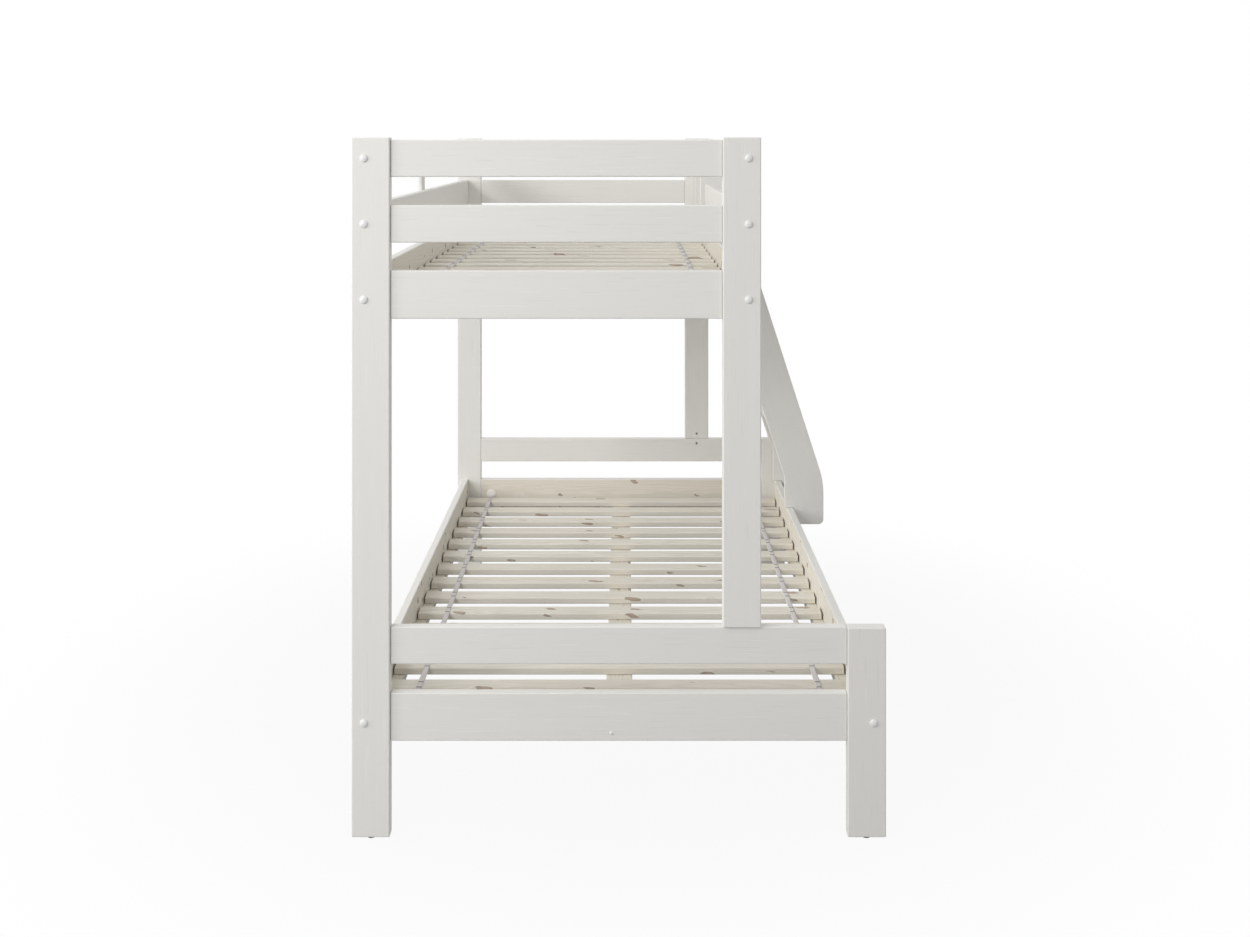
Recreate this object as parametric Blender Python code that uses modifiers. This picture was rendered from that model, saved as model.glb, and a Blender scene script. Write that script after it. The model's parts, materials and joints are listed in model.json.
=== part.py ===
"""Triple bunk bed: a wide lower bed, a narrow upper bed over its left side, and a hook-on ladder.

Metres, +Z up.  +Y runs along the beds, +X goes from the closed side to the ladder side.
The origin is on the floor, under the middle of the whole bed with its ladder.
Every piece keeps a small gap to the piece it touches, because meshes may not overlap.
"""
import math

import bmesh
import bpy

# Mattresses that the beds take
MATTRESS_LENGTH = 2.000
LOWER_MATTRESS_WIDTH = 1.200
UPPER_MATTRESS_WIDTH = 0.900

# Clearances
TOUCH_GAP = 0.0003
CUT_OVERRUN = 0.003

# Timber sections
POST_WIDTH = 0.092
POST_DEPTH = 0.032
BOARD_THICKNESS = 0.024
BOARD_HEIGHT = 0.090
END_RAIL_HEIGHT = 0.116
SIDE_RAIL_HEIGHT = 0.138
EDGE_RADIUS = 0.003

# Levels above the floor
GLIDE_HEIGHT = 0.004
LOWER_RAIL_TOP = 0.348
SHORT_POST_TOP = 0.507
POST_TOP = 1.685
UPPER_RAIL_DROP = 0.321
TOP_GUARD_DROP = 0.0055
GUARD_SPACING = 0.158

# Side rails and guards stand this far inside the outer side of their posts
RAIL_SETBACK = 0.018

# Tenons of the end rails
TENON_LENGTH = 0.030
TENON_THICKNESS = 0.012
TENON_SHOULDER = 0.012

# Slats, the tapes that space them and the ledgers that carry them
SLAT_COUNT = 15
SLAT_WIDTH = 0.060
SLAT_THICKNESS = 0.020
SLAT_EDGE_RADIUS = 0.004
SLAT_DROP = 0.065
SLAT_SIDE_GAP = 0.005
SLAT_END_GAP = 0.026
TAPE_WIDTH = 0.015
TAPE_THICKNESS = 0.0012
TAPE_INSET = 0.090
DISC_RADIUS = 0.0185
DISC_THICKNESS = 0.004
DISC_RISE = 0.011
LEDGER_WIDTH = 0.030
LEDGER_HEIGHT = 0.025
LEDGER_END_GAP = 0.010

# Centre beam under the lower slats, with its end housings and its screw
BEAM_WIDTH = 0.068
BEAM_THICKNESS = 0.022
BEAM_HOUSING = 0.008
SCREW_OFFSET = 0.018
SCREW_SHANK_RADIUS = 0.002
SCREW_LENGTH = 0.050
SCREW_HEAD_RADIUS = 0.0045
SCREW_HEAD_HEIGHT = 0.002

# Bolts with dome caps, floor glides and connector pins
BOLT_SHANK_RADIUS = 0.004
BOLT_REACH = 0.050
CAP_RADIUS = 0.0095
CAP_HEIGHT = 0.005
GLIDE_RADIUS = 0.011
GLIDE_CHAMFER = 0.001
GLIDE_NAIL_RADIUS = 0.0015
GLIDE_NAIL_LENGTH = 0.015
PIN_RADIUS = 0.005
PIN_HALF_LENGTH = 0.045
LOCK_HOLE_RADIUS = 0.004
LOCK_HOLE_RISE = 0.020
LOCK_HOLE_DROP = 0.018

# Guards on the ladder side stop short of the far posts, and battens tie the guards to the rails
LADDER_BAY = 0.480
BATTEN_WIDTH = 0.060
BATTEN_THICKNESS = 0.014
BATTEN_TOP_DROP = 0.008
BATTEN_OVERLAP = 0.100

# Ladder
LADDER_WIDTH = 0.403
LADDER_POST_GAP = 0.005
LADDER_TOP_DROP = 0.003
LADDER_TOP_WIDTH = 0.048
LADDER_PLANK_WIDTH = 0.129
LADDER_FOOT_WIDTH = 0.1406
LADDER_FOOT_OVERHANG = 0.0074
LADDER_FOOT_DROP = 0.060
LADDER_BEND_RISE = 0.0953
LADDER_BEND_RADIUS = 0.300
LADDER_FOOT_RADIUS = 0.018
LADDER_TOP_RADIUS = 0.006
HOOK_THICKNESS = 0.012
HOOK_DEPTH = 0.025
HOOK_CLEARANCE = 0.001
TREAD_COUNT = 4
TREAD_HOUSING = 0.008
TREAD_INSET = 0.010
BOTTOM_TREAD_DROP = 0.010
TOP_TREAD_DROP = 0.157

# Facets
ROUND_SIDES = 12
CAP_RINGS = 3
BEND_STEPS = 6
MERGE_DISTANCE = 0.00005
EDGE_SEGMENTS = 2

# Places along the length, from the middle of the beds
POST_INNER_Y = MATTRESS_LENGTH / 2
POST_OUTER_Y = POST_INNER_Y + POST_DEPTH
RAIL_MID_Y = POST_INNER_Y + BOARD_THICKNESS / 2

# Places across the width, measured from the left posts and then centred on the origin
RAIL_INSET = RAIL_SETBACK + BOARD_THICKNESS
LOWER_WIDTH = LOWER_MATTRESS_WIDTH + 2 * RAIL_INSET
UPPER_WIDTH = UPPER_MATTRESS_WIDTH + 2 * RAIL_INSET
OVERALL_WIDTH = LOWER_WIDTH - RAIL_INSET - LADDER_FOOT_OVERHANG + LADDER_FOOT_WIDTH
LEFT_X = -OVERALL_WIDTH / 2
LOWER_RIGHT_X = LEFT_X + LOWER_WIDTH
UPPER_RIGHT_X = LEFT_X + UPPER_WIDTH

# Levels that follow from the ones above
POST_BOTTOM = GLIDE_HEIGHT + TOUCH_GAP
UPPER_RAIL_TOP = POST_TOP - UPPER_RAIL_DROP
TOP_GUARD_TOP = POST_TOP - TOP_GUARD_DROP
MIDDLE_GUARD_TOP = TOP_GUARD_TOP - GUARD_SPACING


def make_collection(name):
    collection = bpy.data.collections.new(name)
    bpy.context.scene.collection.children.link(collection)
    return collection


def make_material(name, colour, roughness, metallic=0.0):
    material = bpy.data.materials.new(name)
    material.use_nodes = True
    shader = material.node_tree.nodes["Principled BSDF"]
    shader.inputs["Base Color"].default_value = (*colour, 1.0)
    shader.inputs["Roughness"].default_value = roughness
    shader.inputs["Metallic"].default_value = metallic
    return material


def add_object(name, mesh, location, collection, material=None):
    obj = bpy.data.objects.new(name, mesh)
    obj.location = location
    collection.objects.link(obj)
    if material is not None:
        mesh.materials.append(material)
    return obj


def box_mesh(name, size):
    bm = bmesh.new()
    bmesh.ops.create_cube(bm, size=1.0)
    bmesh.ops.scale(bm, vec=size, verts=bm.verts)
    mesh = bpy.data.meshes.new(name)
    bm.to_mesh(mesh)
    bm.free()
    return mesh


def middle_and_size(spans):
    """Turn three (low, high) spans into the box's middle and its size."""
    middle = [(low + high) / 2 for low, high in spans]
    size = [high - low for low, high in spans]
    return middle, size


def board(name, spans, material, radius=EDGE_RADIUS, segments=EDGE_SEGMENTS):
    """A board that fills the given spans, with rounded edges."""
    middle, size = middle_and_size(spans)
    obj = add_object(name, box_mesh(name, size), middle, bed, material)
    rounding = obj.modifiers.new("rounded edges", "BEVEL")
    rounding.width = radius
    rounding.segments = segments
    rounding.limit_method = "ANGLE"
    return obj


def hidden_box(name, spans):
    """A plain box among the cutters."""
    middle, size = middle_and_size(spans)
    return hide(add_object(name, box_mesh(name, size), middle, cutters))


def hide(obj):
    obj.hide_render = True
    obj.display_type = "WIRE"
    return obj


def hidden_cylinder(name, start, end, radius):
    """A cylinder among the cutters, from one point to another along one axis."""
    run = [b - a for a, b in zip(start, end)]
    length = math.dist(start, end)
    bm = bmesh.new()
    bmesh.ops.create_cone(
        bm, cap_ends=True, segments=ROUND_SIDES, radius1=radius, radius2=radius, depth=length)
    mesh = bpy.data.meshes.new(name)
    bm.to_mesh(mesh)
    bm.free()
    obj = add_object(name, mesh, [(a + b) / 2 for a, b in zip(start, end)], cutters)
    quarter = math.pi / 2
    obj.rotation_euler = (quarter if run[1] else 0, quarter if run[0] else 0, 0)
    return hide(obj)


def boolean(obj, other, operation="DIFFERENCE"):
    modifier = obj.modifiers.new(f"{operation.lower()} {other.name}", "BOOLEAN")
    modifier.operation = operation
    modifier.object = other
    modifier.solver = "EXACT"


def turned(name, profile, location, rotation, material):
    """A solid turned about its own Z axis; the profile runs from the top axis point to the bottom one."""
    mesh = bpy.data.meshes.new(name)
    points = [(radius, 0, height) for radius, height in profile]
    mesh.from_pydata(points, [(i, i + 1) for i in range(len(points) - 1)], [])
    obj = add_object(name, mesh, location, bed, material)
    obj.rotation_euler = rotation
    turn = obj.modifiers.new("turned", "SCREW")
    turn.steps = ROUND_SIDES
    turn.render_steps = ROUND_SIDES
    turn.use_merge_vertices = True
    turn.merge_threshold = MERGE_DISTANCE
    turn.use_smooth_shade = True
    return obj


def smooth_round_faces(obj, angle_share=1 / 6):
    """Shade smooth, with sharp edges kept where faces meet at more than this share of a half turn."""
    obj.data.shade_smooth()
    obj.data.set_sharp_from_angle(angle=math.pi * angle_share)


def dome_profile(cap_radius, cap_height, shank_radius, shank_length):
    """A domed head above a plain shank, with the underside of the head at height zero."""
    quarter = math.pi / 2
    profile = [(cap_radius * math.sin(quarter * ring / CAP_RINGS),
                cap_height * math.cos(quarter * ring / CAP_RINGS)) for ring in range(CAP_RINGS)]
    profile += [(cap_radius, 0), (shank_radius, 0), (shank_radius, -shank_length), (0, -shank_length)]
    return profile


def end_rails(label, right_x, levels, height):
    """The rails across both ends, between the left posts and the posts that end at right_x."""
    span_x = (LEFT_X + POST_WIDTH, right_x - POST_WIDTH)
    for end, side in (("front", -1), ("back", 1)):
        for rank, top in levels:
            name = f"{rank}_{label}_{end}" if rank else f"{label}_{end}"
            faces = sorted((side * POST_INNER_Y, side * (POST_INNER_Y + BOARD_THICKNESS)))
            rail = board(name, ((span_x[0] + TOUCH_GAP, span_x[1] - TOUCH_GAP), faces,
                                (top - height, top)), white)
            tenon_y = (side * RAIL_MID_Y - TENON_THICKNESS / 2, side * RAIL_MID_Y + TENON_THICKNESS / 2)
            tenon_z = (top - height + TENON_SHOULDER, top - TENON_SHOULDER)
            tenons = hidden_box(f"tenons of {name}", (
                (span_x[0] - TENON_LENGTH, span_x[1] + TENON_LENGTH), tenon_y, tenon_z))
            boolean(rail, tenons, "UNION")
            mortises = hidden_box(f"mortises for {name}", [
                (low - TOUCH_GAP, high + TOUCH_GAP)
                for low, high in ((span_x[0] - TENON_LENGTH, span_x[1] + TENON_LENGTH),
                                  tenon_y, tenon_z)])
            boolean(parts[f"post_left_{end}"], mortises)
            boolean(parts[POST_AT[right_x] + end], mortises)
            parts[name] = rail


def make_posts():
    """Two full-height left posts, two short right posts and two right posts that stand on the end frames."""
    heights = {
        "post_left_": (LEFT_X, POST_BOTTOM, POST_TOP),
        "post_lower_right_": (LOWER_RIGHT_X - POST_WIDTH, POST_BOTTOM, SHORT_POST_TOP),
        "post_upper_right_": (UPPER_RIGHT_X - POST_WIDTH, SHORT_POST_TOP + TOUCH_GAP, POST_TOP),
    }
    for stem, (low_x, bottom, top) in heights.items():
        for end, side in (("front", -1), ("back", 1)):
            faces = sorted((side * POST_INNER_Y, side * POST_OUTER_Y))
            parts[stem + end] = board(
                stem + end, ((low_x, low_x + POST_WIDTH), faces, (bottom, top)), white)


def side_member(name, outer_x, inward, top, height, back_y, post_stems):
    """A rail or guard along one side, bolted through the post at each end that has one."""
    near_face = outer_x + inward * RAIL_SETBACK
    far_face = near_face + inward * BOARD_THICKNESS
    member = board(name, (sorted((near_face, far_face)),
                          (-POST_INNER_Y + TOUCH_GAP, back_y), (top - height, top)), white)
    parts[name] = member
    middle_x = (near_face + far_face) / 2
    for end, stem in post_stems.items():
        bolt(f"bolt_{name}_{end}", middle_x, top - height / 2,
             -1 if end == "front" else 1, (parts[stem + end], member))


def bolt(name, x, z, side, through):
    """A dome-capped bolt along Y with its head on the outer face of a post."""
    location = (x, side * (POST_OUTER_Y + TOUCH_GAP), z)
    length = POST_DEPTH + BOLT_REACH
    profile = dome_profile(CAP_RADIUS, CAP_HEIGHT, BOLT_SHANK_RADIUS, length)
    turned(name, profile, location, (-side * math.pi / 2, 0, 0), metal)
    hole = hidden_cylinder(
        f"hole for {name}", (x, side * (POST_OUTER_Y + CUT_OVERRUN), z),
        (x, side * (POST_OUTER_Y - length - TOUCH_GAP), z), BOLT_SHANK_RADIUS + TOUCH_GAP)
    for piece in through:
        boolean(piece, hole)


def make_side_members():
    """Side rails of both beds and the two guards on each side of the upper bed."""
    left = {"front": "post_left_", "back": "post_left_"}
    upper_right = {"front": "post_upper_right_", "back": "post_upper_right_"}
    lower_right = {"front": "post_lower_right_", "back": "post_lower_right_"}
    far_end = POST_INNER_Y - TOUCH_GAP
    side_member("side_rail_lower_left", LEFT_X, 1, LOWER_RAIL_TOP, SIDE_RAIL_HEIGHT, far_end, left)
    side_member("side_rail_lower_right", LOWER_RIGHT_X, -1, LOWER_RAIL_TOP, SIDE_RAIL_HEIGHT,
                far_end, lower_right)
    side_member("side_rail_upper_left", LEFT_X, 1, UPPER_RAIL_TOP, SIDE_RAIL_HEIGHT, far_end, left)
    side_member("side_rail_upper_right", UPPER_RIGHT_X, -1, UPPER_RAIL_TOP, SIDE_RAIL_HEIGHT,
                far_end, upper_right)
    front_only = {"front": "post_upper_right_"}
    for rank, top in (("top", TOP_GUARD_TOP), ("middle", MIDDLE_GUARD_TOP)):
        side_member(f"{rank}_guard_left", LEFT_X, 1, top, BOARD_HEIGHT, far_end, left)
        side_member(f"{rank}_guard_right", UPPER_RIGHT_X, -1, top, BOARD_HEIGHT,
                    POST_INNER_Y - LADDER_BAY, front_only)


def make_battens():
    """Upright battens at mid-length that tie both guards to the side rail, on their outer faces."""
    bottom = UPPER_RAIL_TOP - BATTEN_OVERLAP
    for label, outer_x, inward in (("left", LEFT_X, 1), ("right", UPPER_RIGHT_X, -1)):
        face = outer_x + inward * (RAIL_SETBACK - TOUCH_GAP)
        board(f"guard_batten_{label}", (
            sorted((face, face - inward * BATTEN_THICKNESS)),
            (-BATTEN_WIDTH / 2, BATTEN_WIDTH / 2), (bottom, TOP_GUARD_TOP - BATTEN_TOP_DROP)), white)


def make_slat_roll(label, left_face, right_face, slat_top):
    """Slats on two tapes, each tape held to the end rails by a disc: one closed solid."""
    name = f"slat_roll_{label}"
    half_slat = SLAT_WIDTH / 2
    first_y = -POST_INNER_Y + SLAT_END_GAP + half_slat
    roll = board(name, ((left_face + SLAT_SIDE_GAP, right_face - SLAT_SIDE_GAP),
                        (first_y - half_slat, first_y + half_slat),
                        (slat_top - SLAT_THICKNESS, slat_top)), pine, SLAT_EDGE_RADIUS, 1)
    copies = roll.modifiers.new("slats", "ARRAY")
    copies.count = SLAT_COUNT
    copies.use_relative_offset = False
    copies.use_constant_offset = True
    copies.constant_offset_displace = (0, -2 * first_y / (SLAT_COUNT - 1), 0)
    for x in (left_face + TAPE_INSET, right_face - TAPE_INSET):
        tape = hidden_box(f"tape at {x:.3f} of {name}", (
            (x - TAPE_WIDTH / 2, x + TAPE_WIDTH / 2),
            (-POST_INNER_Y + DISC_THICKNESS / 2, POST_INNER_Y - DISC_THICKNESS / 2),
            (slat_top - TOUCH_GAP, slat_top + TAPE_THICKNESS)))
        boolean(roll, tape, "UNION")
        for side in (-1, 1):
            disc_z = slat_top + DISC_RISE
            outer_y = side * (POST_INNER_Y - TOUCH_GAP)
            disc = hidden_cylinder(f"disc {side} at {x:.3f} of {name}", (x, outer_y, disc_z),
                                   (x, outer_y - side * DISC_THICKNESS, disc_z), DISC_RADIUS)
            boolean(roll, disc, "UNION")
    parts[name] = roll


def make_ledgers(label, left_face, right_face, slat_bottom):
    """Ledgers on the inner faces of the side rails, under the ends of the slats."""
    top = slat_bottom - TOUCH_GAP
    for side_name, face, inward in (("left", left_face, 1), ("right", right_face, -1)):
        edge = face + inward * TOUCH_GAP
        board(f"ledger_{label}_{side_name}", (
            sorted((edge, edge + inward * LEDGER_WIDTH)),
            (-POST_INNER_Y + LEDGER_END_GAP, POST_INNER_Y - LEDGER_END_GAP),
            (top - LEDGER_HEIGHT, top)), pine)


def make_bed_bases():
    lower = (LEFT_X + RAIL_INSET, LOWER_RIGHT_X - RAIL_INSET)
    upper = (LEFT_X + RAIL_INSET, UPPER_RIGHT_X - RAIL_INSET)
    for label, (left_face, right_face), rail_top in (("lower", lower, LOWER_RAIL_TOP),
                                                     ("upper", upper, UPPER_RAIL_TOP)):
        slat_top = rail_top - SLAT_DROP
        make_slat_roll(label, left_face, right_face, slat_top)
        make_ledgers(label, left_face, right_face, slat_top - SLAT_THICKNESS)


def make_beam():
    """The lengthwise beam under the lower slats, housed in both end rails and screwed at the front."""
    middle_x = (LEFT_X + LOWER_RIGHT_X) / 2
    top = LOWER_RAIL_TOP - SLAT_DROP - SLAT_THICKNESS - TOUCH_GAP
    span_x = (middle_x - BEAM_WIDTH / 2, middle_x + BEAM_WIDTH / 2)
    half_length = POST_INNER_Y + BEAM_HOUSING
    span_z = (top - BEAM_THICKNESS, top)
    beam = board("centre_beam", (span_x, (-half_length, half_length), span_z), pine)
    housing = hidden_box("housings for centre_beam", [
        (low - TOUCH_GAP, high + TOUCH_GAP)
        for low, high in (span_x, (-half_length, half_length), span_z)])
    for end in ("front", "back"):
        boolean(parts[f"bed_end_rail_lower_{end}"], housing)
    screw_x = middle_x - SCREW_OFFSET
    screw_z = top - BEAM_THICKNESS / 2
    face_y = -POST_INNER_Y - BOARD_THICKNESS
    turned("beam_screw_front",
           dome_profile(SCREW_HEAD_RADIUS, SCREW_HEAD_HEIGHT, SCREW_SHANK_RADIUS, SCREW_LENGTH),
           (screw_x, face_y - TOUCH_GAP, screw_z), (math.pi / 2, 0, 0), metal)
    hole = hidden_cylinder(
        "hole for beam_screw_front", (screw_x, face_y - CUT_OVERRUN, screw_z),
        (screw_x, face_y + SCREW_LENGTH + TOUCH_GAP, screw_z), SCREW_SHANK_RADIUS + TOUCH_GAP)
    boolean(parts["bed_end_rail_lower_front"], hole)
    boolean(beam, hole)


def make_glides():
    """A nailed glide under each of the four posts that reach the floor."""
    profile = [
        (0, GLIDE_HEIGHT + GLIDE_NAIL_LENGTH), (GLIDE_NAIL_RADIUS, GLIDE_HEIGHT + GLIDE_NAIL_LENGTH),
        (GLIDE_NAIL_RADIUS, GLIDE_HEIGHT), (GLIDE_RADIUS, GLIDE_HEIGHT), (GLIDE_RADIUS, GLIDE_CHAMFER),
        (GLIDE_RADIUS - GLIDE_CHAMFER, 0), (0, 0)]
    middle_y = (POST_INNER_Y + POST_OUTER_Y) / 2
    for label, x in (("left", LEFT_X + POST_WIDTH / 2), ("right", LOWER_RIGHT_X - POST_WIDTH / 2)):
        stem = "post_left_" if label == "left" else "post_lower_right_"
        for end, side in (("front", -1), ("back", 1)):
            turned(f"glide_{label}_{end}", profile, (x, side * middle_y, 0), (0, 0, 0), dark)
            hole = hidden_cylinder(
                f"hole for glide_{label}_{end}", (x, side * middle_y, 0),
                (x, side * middle_y, GLIDE_HEIGHT + GLIDE_NAIL_LENGTH + TOUCH_GAP),
                GLIDE_NAIL_RADIUS + TOUCH_GAP)
            boolean(parts[stem + end], hole)


def make_connector_pins():
    """Steel pins that join the upper right posts to the middle rails below, locked from inside."""
    x = UPPER_RIGHT_X - POST_WIDTH / 2
    profile = [(0, PIN_HALF_LENGTH), (PIN_RADIUS, PIN_HALF_LENGTH),
               (PIN_RADIUS, -PIN_HALF_LENGTH), (0, -PIN_HALF_LENGTH)]
    for end, side in (("front", -1), ("back", 1)):
        y = side * RAIL_MID_Y
        pieces = (parts[f"post_upper_right_{end}"], parts[f"middle_rail_{end}"])
        turned(f"connector_pin_{end}", profile, (x, y, SHORT_POST_TOP), (0, 0, 0), metal)
        reach = PIN_HALF_LENGTH + TOUCH_GAP
        hole = hidden_cylinder(f"hole for connector_pin_{end}", (x, y, SHORT_POST_TOP - reach),
                               (x, y, SHORT_POST_TOP + reach), PIN_RADIUS + TOUCH_GAP)
        inner_face = side * (POST_INNER_Y - CUT_OVERRUN)
        for piece, level in zip(pieces, (SHORT_POST_TOP + LOCK_HOLE_RISE,
                                         SHORT_POST_TOP - LOCK_HOLE_DROP)):
            boolean(piece, hole)
            lock = hidden_cylinder(f"lock hole of {piece.name}", (x, inner_face, level),
                                   (x, y, level), LOCK_HOLE_RADIUS)
            boolean(piece, lock)


def arc_corner(before, corner, after, radius, steps):
    """Points that round the corner between two straight runs with an arc of the given radius."""
    def direction(start, end):
        length = math.dist(start, end)
        return [(b - a) / length for a, b in zip(start, end)]

    back = direction(corner, before)
    ahead = direction(corner, after)
    half_angle = math.acos(sum(a * b for a, b in zip(back, ahead))) / 2
    setback = radius / math.tan(half_angle)
    bisector = direction((0, 0), [a + b for a, b in zip(back, ahead)])
    centre = [c + b * radius / math.sin(half_angle) for c, b in zip(corner, bisector)]
    start = [c + a * setback for c, a in zip(corner, back)]
    turn = math.pi - 2 * half_angle
    if back[0] * ahead[1] - back[1] * ahead[0] > 0:
        turn = -turn
    arm = [s - c for s, c in zip(start, centre)]
    points = []
    for step in range(steps + 1):
        angle = turn * step / steps
        points.append((centre[0] + arm[0] * math.cos(angle) - arm[1] * math.sin(angle),
                       centre[1] + arm[0] * math.sin(angle) + arm[1] * math.cos(angle)))
    return points


def ladder_lines():
    """The places that shape a stringer, as seen from the front: X across, Z up."""
    upper_inner = UPPER_RIGHT_X - RAIL_INSET
    lower_inner = LOWER_RIGHT_X - RAIL_INSET
    places = {
        "hook_inner": upper_inner - HOOK_CLEARANCE - HOOK_THICKNESS,
        "hook_outer": upper_inner - HOOK_CLEARANCE,
        "upper_outer": upper_inner + BOARD_THICKNESS + HOOK_CLEARANCE,
        "foot_inner": lower_inner - LADDER_FOOT_OVERHANG,
        "lower_outer": lower_inner + BOARD_THICKNESS + HOOK_CLEARANCE,
        "top": POST_TOP - LADDER_TOP_DROP,
        "bend": LOWER_RAIL_TOP + LADDER_BEND_RISE,
        "foot_bottom": LOWER_RAIL_TOP - LADDER_FOOT_DROP,
    }
    places["foot_outer"] = places["foot_inner"] + LADDER_FOOT_WIDTH
    places["top_outer"] = places["hook_inner"] + LADDER_TOP_WIDTH
    places["lean"] = (places["foot_outer"] - places["top_outer"]) / (places["top"] - places["bend"])
    places["plank_run"] = LADDER_PLANK_WIDTH * math.hypot(1, places["lean"])
    return places


def inner_slant_level(places, x):
    """The level at which the slanted inner edge of a stringer passes x."""
    return places["bend"] + (places["foot_outer"] - places["plank_run"] - x) / places["lean"]


def inner_edge(places, z):
    """Where the inner edge of a stringer is at level z, below the upper rail."""
    if z < LOWER_RAIL_TOP:
        return places["lower_outer"]
    slant = places["foot_outer"] - places["plank_run"] - places["lean"] * (z - places["bend"])
    return min(slant, places["foot_inner"])


def stringer_outline(places):
    """One stringer, clockwise from the top of its inner edge, with both hooks and the rounded bend."""
    shoulder = UPPER_RAIL_TOP + TOUCH_GAP
    seat = LOWER_RAIL_TOP + TOUCH_GAP
    top_inner = (places["hook_inner"], places["top"])
    top_outer = (places["top_outer"], places["top"])
    bend = (places["foot_outer"], places["bend"])
    foot_outer = (places["foot_outer"], places["foot_bottom"])
    foot_inner = (places["lower_outer"], places["foot_bottom"])
    points = [top_inner]
    points += arc_corner(top_inner, top_outer, bend, LADDER_TOP_RADIUS, BEND_STEPS // 2)
    points += arc_corner(top_outer, bend, foot_outer, LADDER_BEND_RADIUS, BEND_STEPS)
    points += arc_corner(bend, foot_outer, foot_inner, LADDER_FOOT_RADIUS, BEND_STEPS)
    points += [
        foot_inner,
        (places["lower_outer"], seat),
        (places["foot_inner"], seat),
        (places["foot_inner"], inner_slant_level(places, places["foot_inner"])),
        (places["upper_outer"], inner_slant_level(places, places["upper_outer"])),
        (places["upper_outer"], shoulder),
        (places["hook_outer"], shoulder),
        (places["hook_outer"], shoulder - HOOK_DEPTH),
        (places["hook_inner"], shoulder - HOOK_DEPTH),
    ]
    return points


def flat_piece(name, outline, thickness, location):
    """A flat curve in the XZ plane, extruded along Y and turned into a mesh object."""
    curve = bpy.data.curves.new(name, "CURVE")
    curve.dimensions = "2D"
    curve.fill_mode = "BOTH"
    curve.extrude = thickness / 2
    spline = curve.splines.new("POLY")
    spline.points.add(len(outline) - 1)
    for point, (x, z) in zip(spline.points, outline):
        point.co = (x, z, 0, 1)
    spline.use_cyclic_u = True
    drawn = add_object(name + " outline", curve, location, cutters)
    drawn.rotation_euler = (math.pi / 2, 0, 0)
    bpy.context.view_layer.update()
    evaluated = drawn.evaluated_get(bpy.context.evaluated_depsgraph_get())
    mesh = bpy.data.meshes.new_from_object(evaluated)
    bm = bmesh.new()
    bm.from_mesh(mesh)
    bmesh.ops.remove_doubles(bm, verts=bm.verts, dist=MERGE_DISTANCE)
    bm.to_mesh(mesh)
    bm.free()
    obj = add_object(name, mesh, location, bed, white)
    obj.matrix_world = drawn.matrix_world
    bpy.data.objects.remove(drawn)
    return obj


def make_ladder():
    """Two stringers that hook over both side rails, with treads housed between them."""
    places = ladder_lines()
    back_y = POST_INNER_Y - LADDER_POST_GAP
    front_y = back_y - LADDER_WIDTH
    origin = (places["upper_outer"], (front_y + back_y) / 2, UPPER_RAIL_TOP)
    lift = bpy.data.objects.new("ladder_lift_axis", None)
    lift.location = origin
    bed.objects.link(lift)
    outline = [(x - origin[0], z - origin[2]) for x, z in stringer_outline(places)]
    stringers = []
    for end, middle_y in (("front", front_y + BOARD_THICKNESS / 2), ("back", back_y - BOARD_THICKNESS / 2)):
        stringer = flat_piece(f"ladder_stringer_{end}", outline, BOARD_THICKNESS,
                              (origin[0], middle_y, origin[2]))
        rounding = stringer.modifiers.new("rounded edges", "BEVEL")
        rounding.width = EDGE_RADIUS
        rounding.segments = 1
        rounding.limit_method = "ANGLE"
        stringers.append(stringer)
    lowest = LOWER_RAIL_TOP - BOTTOM_TREAD_DROP
    pitch = (UPPER_RAIL_TOP - TOP_TREAD_DROP - lowest) / (TREAD_COUNT - 1)
    reach = BOARD_THICKNESS - TREAD_HOUSING
    treads = []
    for number in range(TREAD_COUNT):
        level = lowest + number * pitch
        low_x = inner_edge(places, level) + TREAD_INSET
        spans = ((low_x, low_x + BOARD_HEIGHT), (front_y + reach, back_y - reach),
                 (level - BOARD_THICKNESS / 2, level + BOARD_THICKNESS / 2))
        treads.append(board(f"ladder_tread_{number + 1}", spans, white))
        housing = hidden_box(f"housings for ladder_tread_{number + 1}", [
            (low - TOUCH_GAP, high + TOUCH_GAP) for low, high in spans])
        for stringer in stringers:
            boolean(stringer, housing)
    for piece in stringers + treads:
        place = piece.location.copy()
        piece.parent = lift
        piece.location = place - lift.location


for old in list(bpy.data.objects):
    bpy.data.objects.remove(old)
bed = make_collection("triple_bunk_bed")
cutters = make_collection("cutters")
white = make_material("white_lacquered_pine", (0.80, 0.79, 0.76), 0.45)
pine = make_material("whitewashed_pine", (0.68, 0.64, 0.57), 0.60)
metal = make_material("white_capped_steel", (0.82, 0.82, 0.80), 0.30)
dark = make_material("dark_plastic", (0.10, 0.10, 0.11), 0.55)
parts = {}
POST_AT = {LOWER_RIGHT_X: "post_lower_right_", UPPER_RIGHT_X: "post_upper_right_"}

make_posts()
end_rails("guard", UPPER_RIGHT_X, (("top", TOP_GUARD_TOP), ("middle", MIDDLE_GUARD_TOP)), BOARD_HEIGHT)
end_rails("bed_end_rail_upper", UPPER_RIGHT_X, (("", UPPER_RAIL_TOP),), END_RAIL_HEIGHT)
end_rails("rail", LOWER_RIGHT_X, (("middle", SHORT_POST_TOP),), BOARD_HEIGHT)
end_rails("bed_end_rail_lower", LOWER_RIGHT_X, (("", LOWER_RAIL_TOP),), END_RAIL_HEIGHT)
make_side_members()
make_battens()
make_bed_bases()
make_beam()
make_glides()
make_connector_pins()
make_ladder()
for piece in bed.objects:
    if piece.type == "MESH":
        smooth_round_faces(piece)
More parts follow.
